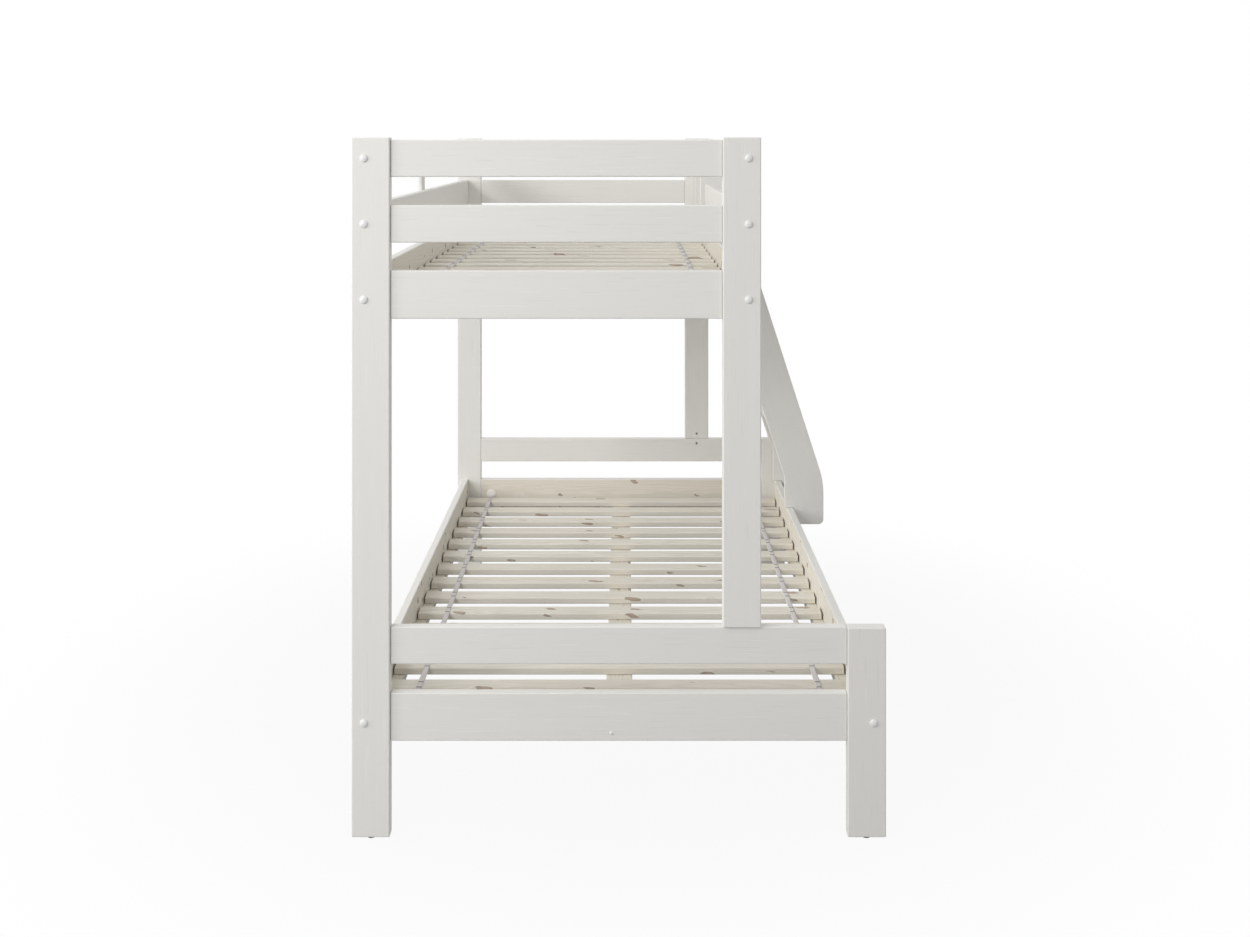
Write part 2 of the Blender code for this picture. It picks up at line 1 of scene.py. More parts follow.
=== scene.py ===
# %% [markdown]
# A triple bunk bed in white lacquered pine
#
# The real bed is a flat-pack of planed boards: posts, rails, guards, a ladder, and two rolls of loose
# slats.  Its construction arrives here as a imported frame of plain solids.  This notebook dresses that
# frame: it makes every board again with soft rims and real grain, lays the slats and their woven
# tapes, fits the caps, and lights the whole like a catalogue picture.  Lengths are in metres, +Z is
# up, +Y runs along the beds and +X goes from the closed side to the ladder.

# %% Load the frame
import json
import math

import bpy
import numpy as np
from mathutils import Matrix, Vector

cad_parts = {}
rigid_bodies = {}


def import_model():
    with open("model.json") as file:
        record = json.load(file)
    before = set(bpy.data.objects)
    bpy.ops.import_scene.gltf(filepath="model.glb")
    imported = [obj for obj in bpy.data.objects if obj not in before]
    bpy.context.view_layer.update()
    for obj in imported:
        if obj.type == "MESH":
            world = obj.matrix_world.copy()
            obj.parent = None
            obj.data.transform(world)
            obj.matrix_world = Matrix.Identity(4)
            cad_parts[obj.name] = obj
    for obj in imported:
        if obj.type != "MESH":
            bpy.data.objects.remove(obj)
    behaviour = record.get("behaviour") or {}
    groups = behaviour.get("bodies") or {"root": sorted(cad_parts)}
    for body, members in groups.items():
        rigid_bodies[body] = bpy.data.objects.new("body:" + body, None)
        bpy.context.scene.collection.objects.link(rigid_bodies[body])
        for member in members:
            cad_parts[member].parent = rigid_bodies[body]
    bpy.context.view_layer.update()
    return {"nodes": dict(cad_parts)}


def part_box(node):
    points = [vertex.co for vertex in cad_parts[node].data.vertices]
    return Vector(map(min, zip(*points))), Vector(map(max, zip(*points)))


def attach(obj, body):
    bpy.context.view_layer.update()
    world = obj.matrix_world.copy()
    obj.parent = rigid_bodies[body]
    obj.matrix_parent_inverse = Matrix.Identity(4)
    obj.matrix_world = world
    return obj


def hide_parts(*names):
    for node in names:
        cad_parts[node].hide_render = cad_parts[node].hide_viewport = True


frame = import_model()

# %% [markdown]
# The camera
#
# In the picture the posts are upright and parallel, and their tops are seen almost edge on.  A camera
# that looks straight ahead from just below those tops does that.  It could be tilted down to frame the
# bed, but then the posts would lean together, so it stays level and its lens is shifted down instead,
# as on a view camera.

# %% Place the camera
PHOTO_WIDTH = 1250
PHOTO_HEIGHT = 937
HORIZON_ROW = 140.1
SENSOR_WIDTH = 36.0
LENS = 38.4
CAMERA_PLACE = (-0.0306, -4.232, 1.6782)


def add_object(name, data):
    """A new object at the origin that holds the data, linked to the scene."""
    thing = bpy.data.objects.new(name, data)
    bpy.context.scene.collection.objects.link(thing)
    return thing


camera = add_object("camera", bpy.data.cameras.new("camera"))
bpy.context.scene.camera = camera
camera.location = CAMERA_PLACE
camera.rotation_euler = (math.pi / 2, 0, 0)
camera.data.sensor_width = SENSOR_WIDTH
camera.data.lens = LENS
camera.data.shift_y = (HORIZON_ROW - PHOTO_HEIGHT / 2) / PHOTO_WIDTH
print("the lens is shifted by", round(camera.data.shift_y, 4), "of the picture's width")

# %% [markdown]
# Light
#
# The front of the bed is brightest at the upper left and falls off towards the lower right, and the
# sides that face left are bright while those that face right are in shade.  So a soft key lamp stands
# close to the upper left corner, where its light fades most across the front.  A second one stands
# more than twice as far off, so that its light fades less towards the far end.  Two more light the
# left side, and a weak one hangs above.  One large lamp would be simpler, but it would flatten this
# play of bright and shaded sides.

# %% Lamps
BED_MIDDLE = (0.0, 0.0, 0.85)
LAMPS = {  # each lamp's place, its size and its power in watts
    "key_lamp": ((-2.6, -3.6, 3.2), 1.0, 38.5),
    "front_lamp": ((-4.4, -10.5, 4.2), 2.0, 172.0),
    "side_near_lamp": ((-6.0, -3.0, 2.4), 2.0, 110.0),
    "side_far_lamp": ((-5.0, 0.5, 2.5), 2.5, 66.0),
    "top_lamp": ((-0.8, -0.4, 4.6), 3.0, 16.0)}


def soft_lamp(name, place, size, power):
    """A square area lamp that points at the middle of the bed."""
    lamp = add_object(name, bpy.data.lights.new(name, "AREA"))
    lamp.data.size = size
    lamp.data.energy = power
    lamp.visible_camera = False
    run = np.subtract(BED_MIDDLE, place)
    lamp.location = place
    lamp.rotation_euler = (math.atan2(math.hypot(run[0], run[1]), -run[2]), 0,
                           math.atan2(run[1], run[0]) - math.pi / 2)
    print(name, "stands", round(float(np.linalg.norm(run)), 2), "m from the middle of the bed")


for name, (place, size, power) in LAMPS.items():
    soft_lamp(name, place, size, power)

# %% [markdown]
# Shader nodes
#
# The surroundings and every finish are small graphs of shader nodes.  A graph could be drawn by hand
# in the Shader Editor, but in code it can be read, reused and changed in one place.  Short helpers
# write it: each adds one node, fills its inputs and hands back what comes out.

# %% Node helpers and an empty sky


def set_inputs(tree, node, inputs):
    """Fills a node's inputs; each value is a plain one or another node's output socket."""
    for key, value in inputs.items():
        if isinstance(value, bpy.types.NodeSocket):
            tree.links.new(value, node.inputs[key])
        else:
            node.inputs[key].default_value = value


def add_node(tree, kind, inputs=None, **settings):
    """Adds a shader node of a kind, such as TexNoise, with its settings and its inputs."""
    node = tree.nodes.new("ShaderNode" + kind)
    for key, value in settings.items():
        setattr(node, key, value)
    set_inputs(tree, node, inputs or {})
    return node


def add_math(tree, operation, first, second=0.0):
    """One Math node's result."""
    return add_node(tree, "Math", {0: first, 1: second}, operation=operation).outputs[0]


world = bpy.data.worlds.new("white_studio")
bpy.context.scene.world = world
world.use_nodes = True
sky = world.node_tree
sky.nodes.clear()
print("the empty sky has", len(sky.nodes), "nodes")

# %% [markdown]
# White surroundings
#
# The sky fills the shadows, but as white as it looks it would wash them out.  So its light and its
# look are set apart with the Light Path node: the camera and the reflections see plain white, and the
# bed gets only a dimmer fill.

# %% Sky
SKY_FILL = 0.59
WHITE = (1.0, 1.0, 1.0, 1.0)


def seen_directly(tree):
    """1 for rays that come from the camera, a reflection or a see-through surface, else 0."""
    path = add_node(tree, "LightPath").outputs
    mirrored = add_math(tree, "MAXIMUM", path["Is Glossy Ray"], path["Is Transmission Ray"])
    return add_math(tree, "MAXIMUM", path["Is Camera Ray"], mirrored)


strength = add_math(sky, "MAXIMUM", seen_directly(sky), SKY_FILL)
backdrop = add_node(sky, "Background", {"Color": WHITE, "Strength": strength})
add_node(sky, "OutputWorld", {"Surface": backdrop.outputs[0]})
bpy.context.scene.view_settings.view_transform = "Standard"
print("the sky takes", len(sky.nodes), "nodes and lights the bed at", SKY_FILL, "of white")

# %% [markdown]
# The floor
#
# A plain pale sheet carries the bed's soft shadow.  It could curve up behind the bed as in a studio,
# but a flat one serves from every side.  For the camera it glows, a little less near the bed than
# further out, so it melts into the white surroundings with no horizon line.  The glow follows the
# distance on the floor itself, so it stays where it is when the camera moves.

# %% Floor material
FLOOR_COLOUR = (0.32, 0.32, 0.32, 1.0)
FLOOR_FADE_FROM = 0.9
FLOOR_FADE_TO = 2.2
FLOOR_GLOW_NEAR = 0.93


def map_range(tree, value, low, high, to_low=0.0, to_high=1.0, kind="LINEAR"):
    """The value, carried from the range low to high on to another range, and held inside it."""
    node = add_node(tree, "MapRange", {"Value": value, "From Min": low, "From Max": high,
                                       "To Min": to_low, "To Max": to_high}, interpolation_type=kind)
    return node.outputs["Result"]


floor_material = bpy.data.materials.new("pale_floor")
floor_material.use_nodes = True
tree = floor_material.node_tree
tree.nodes.clear()
place = add_node(tree, "TexCoord").outputs["Object"]
distance = add_node(tree, "VectorMath", {0: place}, operation="LENGTH").outputs["Value"]
glow = map_range(tree, distance, FLOOR_FADE_FROM, FLOOR_FADE_TO, FLOOR_GLOW_NEAR, kind="SMOOTHSTEP")
share = add_math(tree, "MULTIPLY", glow, seen_directly(tree))
matt = add_node(tree, "BsdfDiffuse", {"Color": FLOOR_COLOUR})
light = add_node(tree, "Emission", {"Color": WHITE, "Strength": 1.0})
both = add_node(tree, "MixShader", {0: share, 1: matt.outputs[0], 2: light.outputs[0]})
add_node(tree, "OutputMaterial", {"Surface": both.outputs[0]})
print("the floor glows at", FLOOR_GLOW_NEAR, "near the bed and at 1.0 from", FLOOR_FADE_TO, "m out")

# %% Floor disc
FLOOR_REACH = 14.0
FLOOR_SIDES = 48
X_WAY, Y_WAY, Z_WAY = np.eye(3)


def circle(sides, right, up):
    """Unit vectors that turn evenly all the way round, from right by way of up."""
    angle = np.arange(sides) * 2 * math.pi / sides
    return np.cos(angle)[:, None] * right + np.sin(angle)[:, None] * up


def new_mesh(name, points, faces, *materials):
    """A mesh from an array of points and, for each face, a list of its points' numbers."""
    mesh = bpy.data.meshes.new(name)
    mesh.from_pydata(points.reshape(-1, 3).tolist(), [], faces)
    for material in materials:
        mesh.materials.append(material)
    return mesh


floor_edge = circle(FLOOR_SIDES, X_WAY, Y_WAY) * FLOOR_REACH
floor = add_object("floor", new_mesh("floor", floor_edge, [list(range(FLOOR_SIDES))], floor_material))
print("the floor is", 2 * FLOOR_REACH, "m across")

# %% [markdown]
# Timber coordinates
#
# Grain runs along a board whichever way the board stands.  The pattern could be turned for each
# board in its own material, but it is simpler to let every board carry its own coordinates: an
# attribute named timber holds, for each point, how far it is along the board, across its width and
# through its thickness, measured from the heart of an imagined log.  One material then suits all
# boards, and each board gets its own piece of the log.

# %% Timber helpers


def new_material(name):
    """A material, its node tree and its shader."""
    material = bpy.data.materials.new(name)
    material.use_nodes = True
    return material, material.node_tree, material.node_tree.nodes["Principled BSDF"]


def timber_place(tree):
    """The point's timber coordinates: along, across and through the log, in metres."""
    return add_node(tree, "Attribute", attribute_name="timber").outputs["Vector"]


def stretched_noise(tree, timber, along, across, detail=3.0, low=0.32, high=0.68):
    """Noise with so many features a metre along the grain and across it, as a value from 0 to 1.

    The noise between low and high fills that range: a pair near the top of the noise leaves only a
    few separate marks.
    """
    scaled = add_node(tree, "VectorMath", {0: timber, 1: (along, across, across)}, operation="MULTIPLY")
    noise = add_node(tree, "TexNoise", {"Vector": scaled.outputs[0], "Scale": 1.0, "Detail": detail})
    return map_range(tree, noise.outputs["Fac"], low, high)


lacquer, tree, shader = new_material("white_lacquer")
timber = timber_place(tree)
print(lacquer.name, "reads the attribute", timber.node.attribute_name)

# %% [markdown]
# White lacquer
#
# Posts, rails and guards are sprayed white, so thinly that the grain still shows: faint streaks, a
# slow drift of tone, and short dark or pale dashes where a pore took less paint or more.  A picture of
# lacquered pine could be wrapped round each board, but it would repeat and stretch.  Noise that is
# drawn out along the grain gives each board its own streaks at any size.

# %% White lacquer over pine
LACQUER_LIGHT = (0.846, 0.834, 0.800, 1.0)
LACQUER_SHADE = (0.780, 0.768, 0.732, 1.0)
LACQUER_ROUGHNESS = 0.42


def weighted(tree, *pairs):
    """The sum of each value times its weight."""
    total = 0.0
    for value, weight in pairs:
        total = add_node(tree, "Math", {0: value, 1: weight, 2: total},
                         operation="MULTIPLY_ADD").outputs[0]
    return total


def mix_colours(tree, share, first, second):
    """The first colour where share is 0, the second where it is 1, and a blend between."""
    return add_node(tree, "Mix", {0: share, 6: first, 7: second}, data_type="RGBA").outputs[2]


def add_relief(tree, shader, height, strength, distance):
    """Shades the surface as if height, times a distance in metres, stood out from it."""
    bump = add_node(tree, "Bump", {"Height": height, "Strength": strength, "Distance": distance})
    set_inputs(tree, shader, {"Normal": bump.outputs[0]})


streaks = stretched_noise(tree, timber, 3.0, 210.0)
drift = stretched_noise(tree, timber, 0.9, 11.0, detail=2.0)
dashes = stretched_noise(tree, timber, 9.0, 200.0, detail=1.0, low=0.66, high=0.76)
pale_dashes = stretched_noise(tree, timber, 8.0, 180.0, detail=1.0, low=0.33, high=0.24)
tone = weighted(tree, (streaks, 0.12), (drift, 0.22), (dashes, 0.90), (pale_dashes, -0.80),
                (1.0, 0.325))
set_inputs(tree, shader, {
    "Base Color": mix_colours(tree, tone, LACQUER_LIGHT, LACQUER_SHADE),
    "Roughness": weighted(tree, (drift, 0.10), (dashes, 0.05), (1.0, LACQUER_ROUGHNESS))})
relief = weighted(tree, (streaks, 0.4), (dashes, -0.8), (pale_dashes, 0.5))
add_relief(tree, shader, relief, strength=0.20, distance=0.0004)
print(lacquer.name, "takes", len(tree.nodes), "nodes")

# %% [markdown]
# Whitewashed pine
#
# The slats, ledgers and the inner faces of the rails are pine with a thin whitewash: growth rings
# show as soft lines, and small brown knots come through.  The rings are the distance from the heart
# of the log, a little warped by noise.  The knots could be painted on each face, but then they would
# not agree at an edge.  So they are the cells of a Voronoi texture that fills the whole log, drawn
# out along the grain: each is a small lens of dark wood, and a face shows whatever slice of it the
# saw laid bare.  A random draw per cell leaves some cells empty and gives each knot its size.

# %% Knots
KNOT_SLANT = 4.0
KNOT_WOBBLE_ALONG = 0.11
KNOT_WOBBLE_ASIDE = 0.09
KNOT_SIZES = (0.14, 0.24)
KNOT_EDGE = 0.035
KNOT_RINGS = 150.0
KNOT_RING_SHARE = 0.016
KNOT_CORE_RANGE = (0.025, 0.110)
SWIRL_REACH = 0.45
SWIRL_PUSH = 0.008


def pine_knots(tree, timber, axes, cells_per_metre, empty_share):
    """Masks of the knots and of their cores, and how far the rings give way round them, in metres.

    The cells come so many a metre along, across and through the log.  A share of them stays empty,
    and each other one holds a knot whose radius, KNOT_SIZES, is a share of the cell.
    """
    wobble = stretched_noise(tree, timber, 34.0, 90.0, detail=1.0)
    aside = ((axes[0], KNOT_SLANT), (wobble, KNOT_WOBBLE_ASIDE))
    cells = add_node(tree, "CombineXYZ", {
        0: weighted(tree, (axes[0], cells_per_metre[0]), (wobble, KNOT_WOBBLE_ALONG)),
        1: weighted(tree, (axes[1], cells_per_metre[1]), *aside),
        2: weighted(tree, (axes[2], cells_per_metre[2]), *aside)})
    knot = add_node(tree, "TexVoronoi", {
        "Vector": cells.outputs[0], "Scale": 1.0, "Randomness": 0.5}).outputs
    draw = add_node(tree, "SeparateColor", {0: knot["Color"]}).outputs
    present = add_math(tree, "GREATER_THAN", draw[0], empty_share)
    radius = add_math(tree, "MULTIPLY", present, map_range(tree, draw[1], 0.0, 1.0, *KNOT_SIZES))
    depth = add_math(tree, "SUBTRACT", radius, knot["Distance"])
    core_rings = add_math(tree, "SINE", add_math(tree, "MULTIPLY", depth, KNOT_RINGS))
    core_depth = weighted(tree, (depth, 1.0), (core_rings, KNOT_RING_SHARE))
    push = map_range(tree, knot["Distance"], 0.0, SWIRL_REACH, SWIRL_PUSH, 0.0, kind="SMOOTHSTEP")
    return (map_range(tree, depth, 0.0, KNOT_EDGE), map_range(tree, core_depth, *KNOT_CORE_RANGE),
            add_math(tree, "MULTIPLY", push, present))


# %% Pine material
PINE_LIGHT = (0.856, 0.826, 0.744, 1.0)
PINE_RING = (0.665, 0.625, 0.530, 1.0)
PINE_ROSE = (0.800, 0.752, 0.682, 1.0)
KNOT_RIM = (0.190, 0.140, 0.095, 1.0)
KNOT_CORE = (0.420, 0.300, 0.215, 1.0)
KNOT_STRENGTH = 0.78
RING_SPACING = 0.0042
RING_WAVE = 2 * math.pi / RING_SPACING
RING_WARP = 22.0


def distance_from_heart(tree, axes):
    """The square root of the sum of the squares of across and through."""
    squares = [add_math(tree, "POWER", axes[index], 2.0) for index in (1, 2)]
    return add_math(tree, "SQRT", add_math(tree, "ADD", *squares))


def make_pine(name, cells_per_metre, empty_share, ring_weight):
    """Pine with rings round the log's heart, fine fibres, and knots in so many cells a metre."""
    material, tree, shader = new_material(name)
    timber = timber_place(tree)
    axes = add_node(tree, "SeparateXYZ", {0: timber}).outputs
    knot_mask, core_mask, swirl = pine_knots(tree, timber, axes, cells_per_metre, empty_share)
    warp = stretched_noise(tree, timber, 1.6, 9.0, detail=2.0)
    phase = weighted(tree, (distance_from_heart(tree, axes), RING_WAVE), (warp, RING_WARP),
                     (swirl, RING_WAVE))
    rings = weighted(tree, (add_math(tree, "SINE", phase), 0.5), (1.0, 0.5))
    fibres = stretched_noise(tree, timber, 6.0, 420.0)
    blush = stretched_noise(tree, timber, 0.35, 3.0, detail=1.0)
    tone = weighted(tree, (rings, ring_weight), (fibres, 0.42))
    lined = mix_colours(tree, tone, mix_colours(tree, blush, PINE_LIGHT, PINE_ROSE), PINE_RING)
    knot_colour = mix_colours(tree, core_mask, KNOT_RIM, KNOT_CORE)
    washed = add_math(tree, "MULTIPLY", knot_mask, KNOT_STRENGTH)
    set_inputs(tree, shader, {"Base Color": mix_colours(tree, washed, lined, knot_colour),
                              "Roughness": weighted(tree, (fibres, 0.12), (1.0, 0.58))})
    relief = weighted(tree, (fibres, 0.7), (rings, 0.3), (knot_mask, 0.8))
    add_relief(tree, shader, relief, strength=0.30, distance=0.0005)
    return material


slat_pine = make_pine("whitewashed_pine", (8.0, 23.0, 33.0), 0.44, 0.42)
rail_pine = make_pine("whitewashed_pine_rails", (13.0, 22.0, 22.0), 0.30, 0.30)
print(slat_pine.name, "takes", len(slat_pine.node_tree.nodes), "nodes")

# %% [markdown]
# End grain and painted shade
#
# Where a slat is sawn off, and inside a drilled hole, the wash has sunk in and the wood shows brown.
# Its brown is made darker than sawn pine is, as painted shade: it stands in for the shadow in the
# narrow gap between a slat's end and the rail, and in the depth of the hole.  The same growth rings
# that run as lines along a face appear as arcs on a sawn end.  The material needs no second pattern
# for that, because the timber coordinates go right through the board.

# %% End grain material, darkened as painted shade
# both tones of the end grain are darkened as painted shade for the slat-end gaps and the hole's depth
END_GRAIN_AND_SHADE_LIGHT = (0.330, 0.255, 0.170, 1.0)
END_GRAIN_AND_SHADE_DARK = (0.150, 0.110, 0.072, 1.0)

end_grain, tree, shader = new_material("end_grain")
timber = timber_place(tree)
axes = add_node(tree, "SeparateXYZ", {0: timber}).outputs
phase = add_math(tree, "MULTIPLY", distance_from_heart(tree, axes), RING_WAVE)
pores = stretched_noise(tree, timber, 2.0, 1500.0, detail=2.0)
tone = weighted(tree, (add_math(tree, "SINE", phase), 0.30), (pores, 0.35), (1.0, 0.30))
set_inputs(tree, shader, {"Base Color": mix_colours(tree, tone, END_GRAIN_AND_SHADE_LIGHT, END_GRAIN_AND_SHADE_DARK),
                          "Roughness": 0.85})
add_relief(tree, shader, pores, strength=0.4, distance=0.0004)
print(end_grain.name, "takes", len(tree.nodes), "nodes")

# %% [markdown]
# Hardware finishes
#
# The bolt caps are white moulded plastic, smoother and a touch cooler than the lacquer.  Screws and
# pins are zinc plated, the clips dull steel, the glides dark grey plastic and the discs that hold the
# tapes' ends cream.  From afar a flat colour would do for each, but close by neither plastic nor
# plating is quite even, so one recipe lets tone, sheen and a fine relief drift together.

# %% Small materials


def make_moulded(name, colour, roughness, mottle, grain_scale, metallic=0.0):
    """A smooth material whose colour and roughness drift a little, with a fine moulded relief."""
    material, tree, shader = new_material(name)
    place = add_node(tree, "TexCoord").outputs["Object"]
    noise = add_node(tree, "TexNoise", {
        "Vector": place, "Scale": grain_scale, "Detail": 4.0}).outputs["Fac"]
    dark = [channel * (1 - mottle) for channel in colour] + [1.0]
    set_inputs(tree, shader, {"Base Color": mix_colours(tree, noise, dark, (*colour, 1.0)),
                              "Roughness": weighted(tree, (noise, 0.12), (1.0, roughness)),
                              "Metallic": metallic})
    add_relief(tree, shader, noise, strength=0.12, distance=0.0003)
    return material


cap_plastic = make_moulded("cap_plastic", (0.86, 0.86, 0.85), 0.26, 0.05, 260.0)
zinc = make_moulded("zinc_plate", (0.62, 0.63, 0.64), 0.32, 0.20, 420.0, metallic=1.0)
dull_steel = make_moulded("dull_steel", (0.230, 0.225, 0.225), 0.60, 0.25, 600.0)
glide_plastic = make_moulded("glide_plastic", (0.090, 0.090, 0.100), 0.50, 0.30, 500.0)
disc_plastic = make_moulded("disc_plastic", (0.930, 0.910, 0.860), 0.40, 0.05, 120.0)
print(len(bpy.data.materials), "materials so far, with the frame's own")

# %% [markdown]
# Rounded outlines
#
# Almost everything on this bed is a flat shape with a straight edge and softened rims: a board's
# section, a slat's section, a ladder side.  They could be boxes with a Bevel modifier, but worked out
# one by one the same few lines give every corner its own radius, and the exact normals too, so the big
# faces shade perfectly flat.

# %% Outline with round corners


def rounded_outline(corners, radii, steps=6):
    """A closed outline, counter-clockwise, whose corners are arcs; returns points and outward normals.

    At a corner the path turns by an angle.  The arc starts radius times tan(half the turn) before the
    corner, its centre lies one radius inside the first side, and each of its points is the centre plus
    the radius times a normal that turns evenly from the first side's normal to the second's.
    """
    corners = np.asarray(corners, float)
    radii = np.broadcast_to(np.asarray(radii, float), len(corners))[:, None]
    ahead = np.roll(corners, -1, axis=0) - corners
    ahead /= np.linalg.norm(ahead, axis=1, keepdims=True)
    behind = np.roll(ahead, 1, axis=0)
    turn = np.arctan2(behind[:, 0] * ahead[:, 1] - behind[:, 1] * ahead[:, 0],
                      (behind * ahead).sum(axis=1))[:, None]
    outward = np.stack((behind[:, 1], -behind[:, 0]), axis=1)
    hand = np.sign(turn)
    centre = corners - behind * radii * np.tan(abs(turn) / 2) - hand * radii * outward
    angle = turn * np.linspace(0, 1, steps)
    normals = np.stack((outward[:, :1] * np.cos(angle) - outward[:, 1:] * np.sin(angle),
                        outward[:, :1] * np.sin(angle) + outward[:, 1:] * np.cos(angle)), axis=-1)
    points = centre[:, None] + (hand * radii)[:, None] * normals
    return points.reshape(-1, 2), normals.reshape(-1, 2)


square = [(0, 0), (1, 0), (1, 1), (0, 1)]
print("a rounded square has", len(rounded_outline(square, 0.1)[0]), "points")

# %% Swept surface


def swept_surface(outline, outward, length, rim, steps=5):
    """f(u, v): u runs round the outline and v from one end to the other; returns points and normals.

    Over the first and the last rim of the length, while an angle a goes through a quarter turn, the
    outline is drawn in along its normals by rim times (1 - cos a) and moves out by rim times sin a.
    """
    quarter = np.linspace(0, math.pi / 2, steps)
    angle = np.concatenate((-quarter[::-1], quarter))
    level = np.repeat((rim, length - rim), steps) + rim * np.sin(angle)
    drawn_in = rim * (1 - np.cos(angle))
    points = np.empty((len(angle), len(outline), 3))
    points[..., :2] = outline - drawn_in[:, None, None] * outward
    points[..., 2] = level[:, None]
    normals = np.empty_like(points)
    normals[..., :2] = np.cos(angle)[:, None, None] * outward
    normals[..., 2] = np.sin(angle)[:, None]
    return points, normals


def ring_quads(rows, columns):
    """Quads of a grid that closes on itself along its columns."""
    row, column = np.mgrid[:rows - 1, :columns]
    after = (column + 1) % columns
    quads = np.stack((row * columns + column, row * columns + after,
                      (row + 1) * columns + after, (row + 1) * columns + column), axis=-1)
    return quads.reshape(-1, 4).tolist()


def closed_faces(rows, columns):
    """The ring's quads, then one face over each end."""
    last = np.arange(columns) + (rows - 1) * columns
    return ring_quads(rows, columns) + [np.arange(columns)[::-1].tolist(), last.tolist()]


cube, cube_normals = swept_surface(*rounded_outline(square, 0.1), 1.0, 0.1)
cube_faces = closed_faces(*cube.shape[:2])
print("swept to a cube it has", len(cube_faces), "faces")

# %% [markdown]
# From arrays to a piece
#
# One helper turns arrays into a mesh, gives it its timber coordinates and its exact normals; another
# tells the frame which body the piece rides on and hides the solid it stands for.
# Blender could work out the normals itself, but it would let the soft rims bend the flat faces' shade.

# %% Mesh and piece helpers
LOG_LENGTH = 60.0
LOG_ASIDE = 0.03
HEART_DISTANCES = (0.025, 0.09)

log = np.random.default_rng(7)
pieces_made = []
print("the boards are cut from a log", LOG_LENGTH, "m long")


def finish_piece(name, mesh, body, replaced=()):
    """Links the mesh as a piece of the bed; the object stays at the origin."""
    piece = add_object(name, mesh)
    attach(piece, body)
    if replaced:
        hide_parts(*replaced)
    pieces_made.append(name)
    return piece


def board_mesh(name, points, normals, faces, timber, materials):
    """A mesh from flat arrays of points, with a normal for each corner of each face."""
    mesh = new_mesh(name, points, faces, *materials)
    mesh.shade_smooth()
    mesh.normals_split_custom_set(normals.tolist())
    coordinates = mesh.attributes.new("timber", "FLOAT_VECTOR", "POINT")
    coordinates.data.foreach_set("vector", timber.astype(np.float32).ravel())
    return mesh


def cut_from_log(along, across, through):
    """Timber coordinates of a board: its own stretch of the log, some way from the heart."""
    start = log.uniform(0, LOG_LENGTH)
    aside = log.uniform(-LOG_ASIDE, LOG_ASIDE)
    heart = log.uniform(*HEART_DISTANCES) * log.choice((-1, 1))
    return np.stack((along + start, across + aside, through + heart), axis=-1)


# %% [markdown]
# A drilled hole
#
# At each end of the bed the upper right post and the middle rail under it have a small dark hole on
# their inner faces, where a pin is locked.  A Boolean could cut it, but a single flat face is easily
# drilled: the face gives way to a fan of triangles between its four corners and a circle, and the
# circle goes on into a wall and a floor.

# %% Find the face to drill
ALIGNED = 0.999


def facing_quad(points, normals, faces, direction):
    """The index of the largest flat quad that looks along direction."""
    quads = np.array([face for face in faces if len(face) == 4])
    spans = np.linalg.norm(points[quads[:, 2]] - points[quads[:, 0]], axis=1)
    facing = (normals[quads] @ direction).min(axis=1) > ALIGNED
    return int(np.argmax(np.where(facing, spans, 0)))


largest = facing_quad(cube.reshape(-1, 3), cube_normals.reshape(-1, 3), cube_faces, -Y_WAY)
print("the cube's large face towards -Y is number", largest)

# %% Drill one face
HOLE_SIDES = 24
HOLE_FACES = HOLE_SIDES + 1


def drill(points, normals, faces, corner_normals, direction, centre, radius, depth):
    """Drills the large flat face that looks along direction, at centre; returns the three lists anew.

    Each quarter of the circle fans out to its nearest corner, and each pair of neighbouring corners
    shares a triangle with the circle's point between them.
    """
    direction = np.asarray(direction, float)
    chosen = facing_quad(points, normals, faces, direction)
    corners = np.array(faces[chosen])
    right = points[corners[1]] - points[corners[0]]
    right /= np.linalg.norm(right)
    up = np.cross(direction, right)
    away = points[corners] - np.asarray(centre)
    corners = corners[np.argsort(np.arctan2(away @ up, away @ right) % (2 * math.pi))]
    turn = np.arange(HOLE_SIDES)
    spoke = circle(HOLE_SIDES, right, up)
    mouth = np.asarray(centre) + radius * spoke
    quarter = HOLE_SIDES // 4
    rim, rim_after = len(points) + turn, len(points) + np.roll(turn, -1)
    fans = np.stack((corners[turn // quarter], rim_after, rim), axis=-1)
    links = np.stack((np.roll(corners, 1), corners, rim[::quarter]), axis=-1)
    walls = np.stack((rim, rim_after, rim_after + HOLE_SIDES, rim + HOLE_SIDES), axis=-1)
    new_faces = fans.tolist() + links.tolist() + walls.tolist() + [(rim + HOLE_SIDES).tolist()]
    spoke_after = np.roll(spoke, -1, axis=0)
    wall_normals = -np.stack((spoke, spoke_after, spoke_after, spoke), axis=1).reshape(-1, 3)
    new_normals = np.concatenate((
        np.delete(corner_normals, np.arange(4 * chosen, 4 * chosen + 4), axis=0),
        np.tile(direction, (fans.size + links.size, 1)), wall_normals,
        np.tile(direction, (HOLE_SIDES, 1))))
    new_points = np.concatenate((points, mouth, mouth - depth * direction))
    return new_points, faces[:chosen] + faces[chosen + 1:] + new_faces, new_normals


print("a hole takes", HOLE_FACES, "faces for its wall and its floor")

# %% [markdown]
# The boards
#
# A board fills the box of the solid it stands for, less the tenons that hide in the posts.  Its
# section is a rectangle with rounded corners, carried along the board's own direction.  On the rails
# that hold a mattress the lacquer stops at the inner face, which shows the whitewashed pine.  That
# face could be a thin second board, but it is enough to give the one flat face another material.

# %% Board from a box
EDGE_RADIUS = 0.0032
RIM_RADIUS = 0.0030


def choose_materials(mesh, bare, drilled):
    """Gives the faces that look along a bare direction the second material, and a hole the third."""
    towards = np.empty(len(mesh.polygons) * 3)
    mesh.polygons.foreach_get("normal", towards)
    index = np.zeros(len(mesh.polygons), np.int32)
    for direction in bare:
        index[towards.reshape(-1, 3) @ np.asarray(direction, float) > ALIGNED] = 1
    if drilled:
        index[-HOLE_FACES:] = 2
    mesh.polygons.foreach_set("material_index", index)


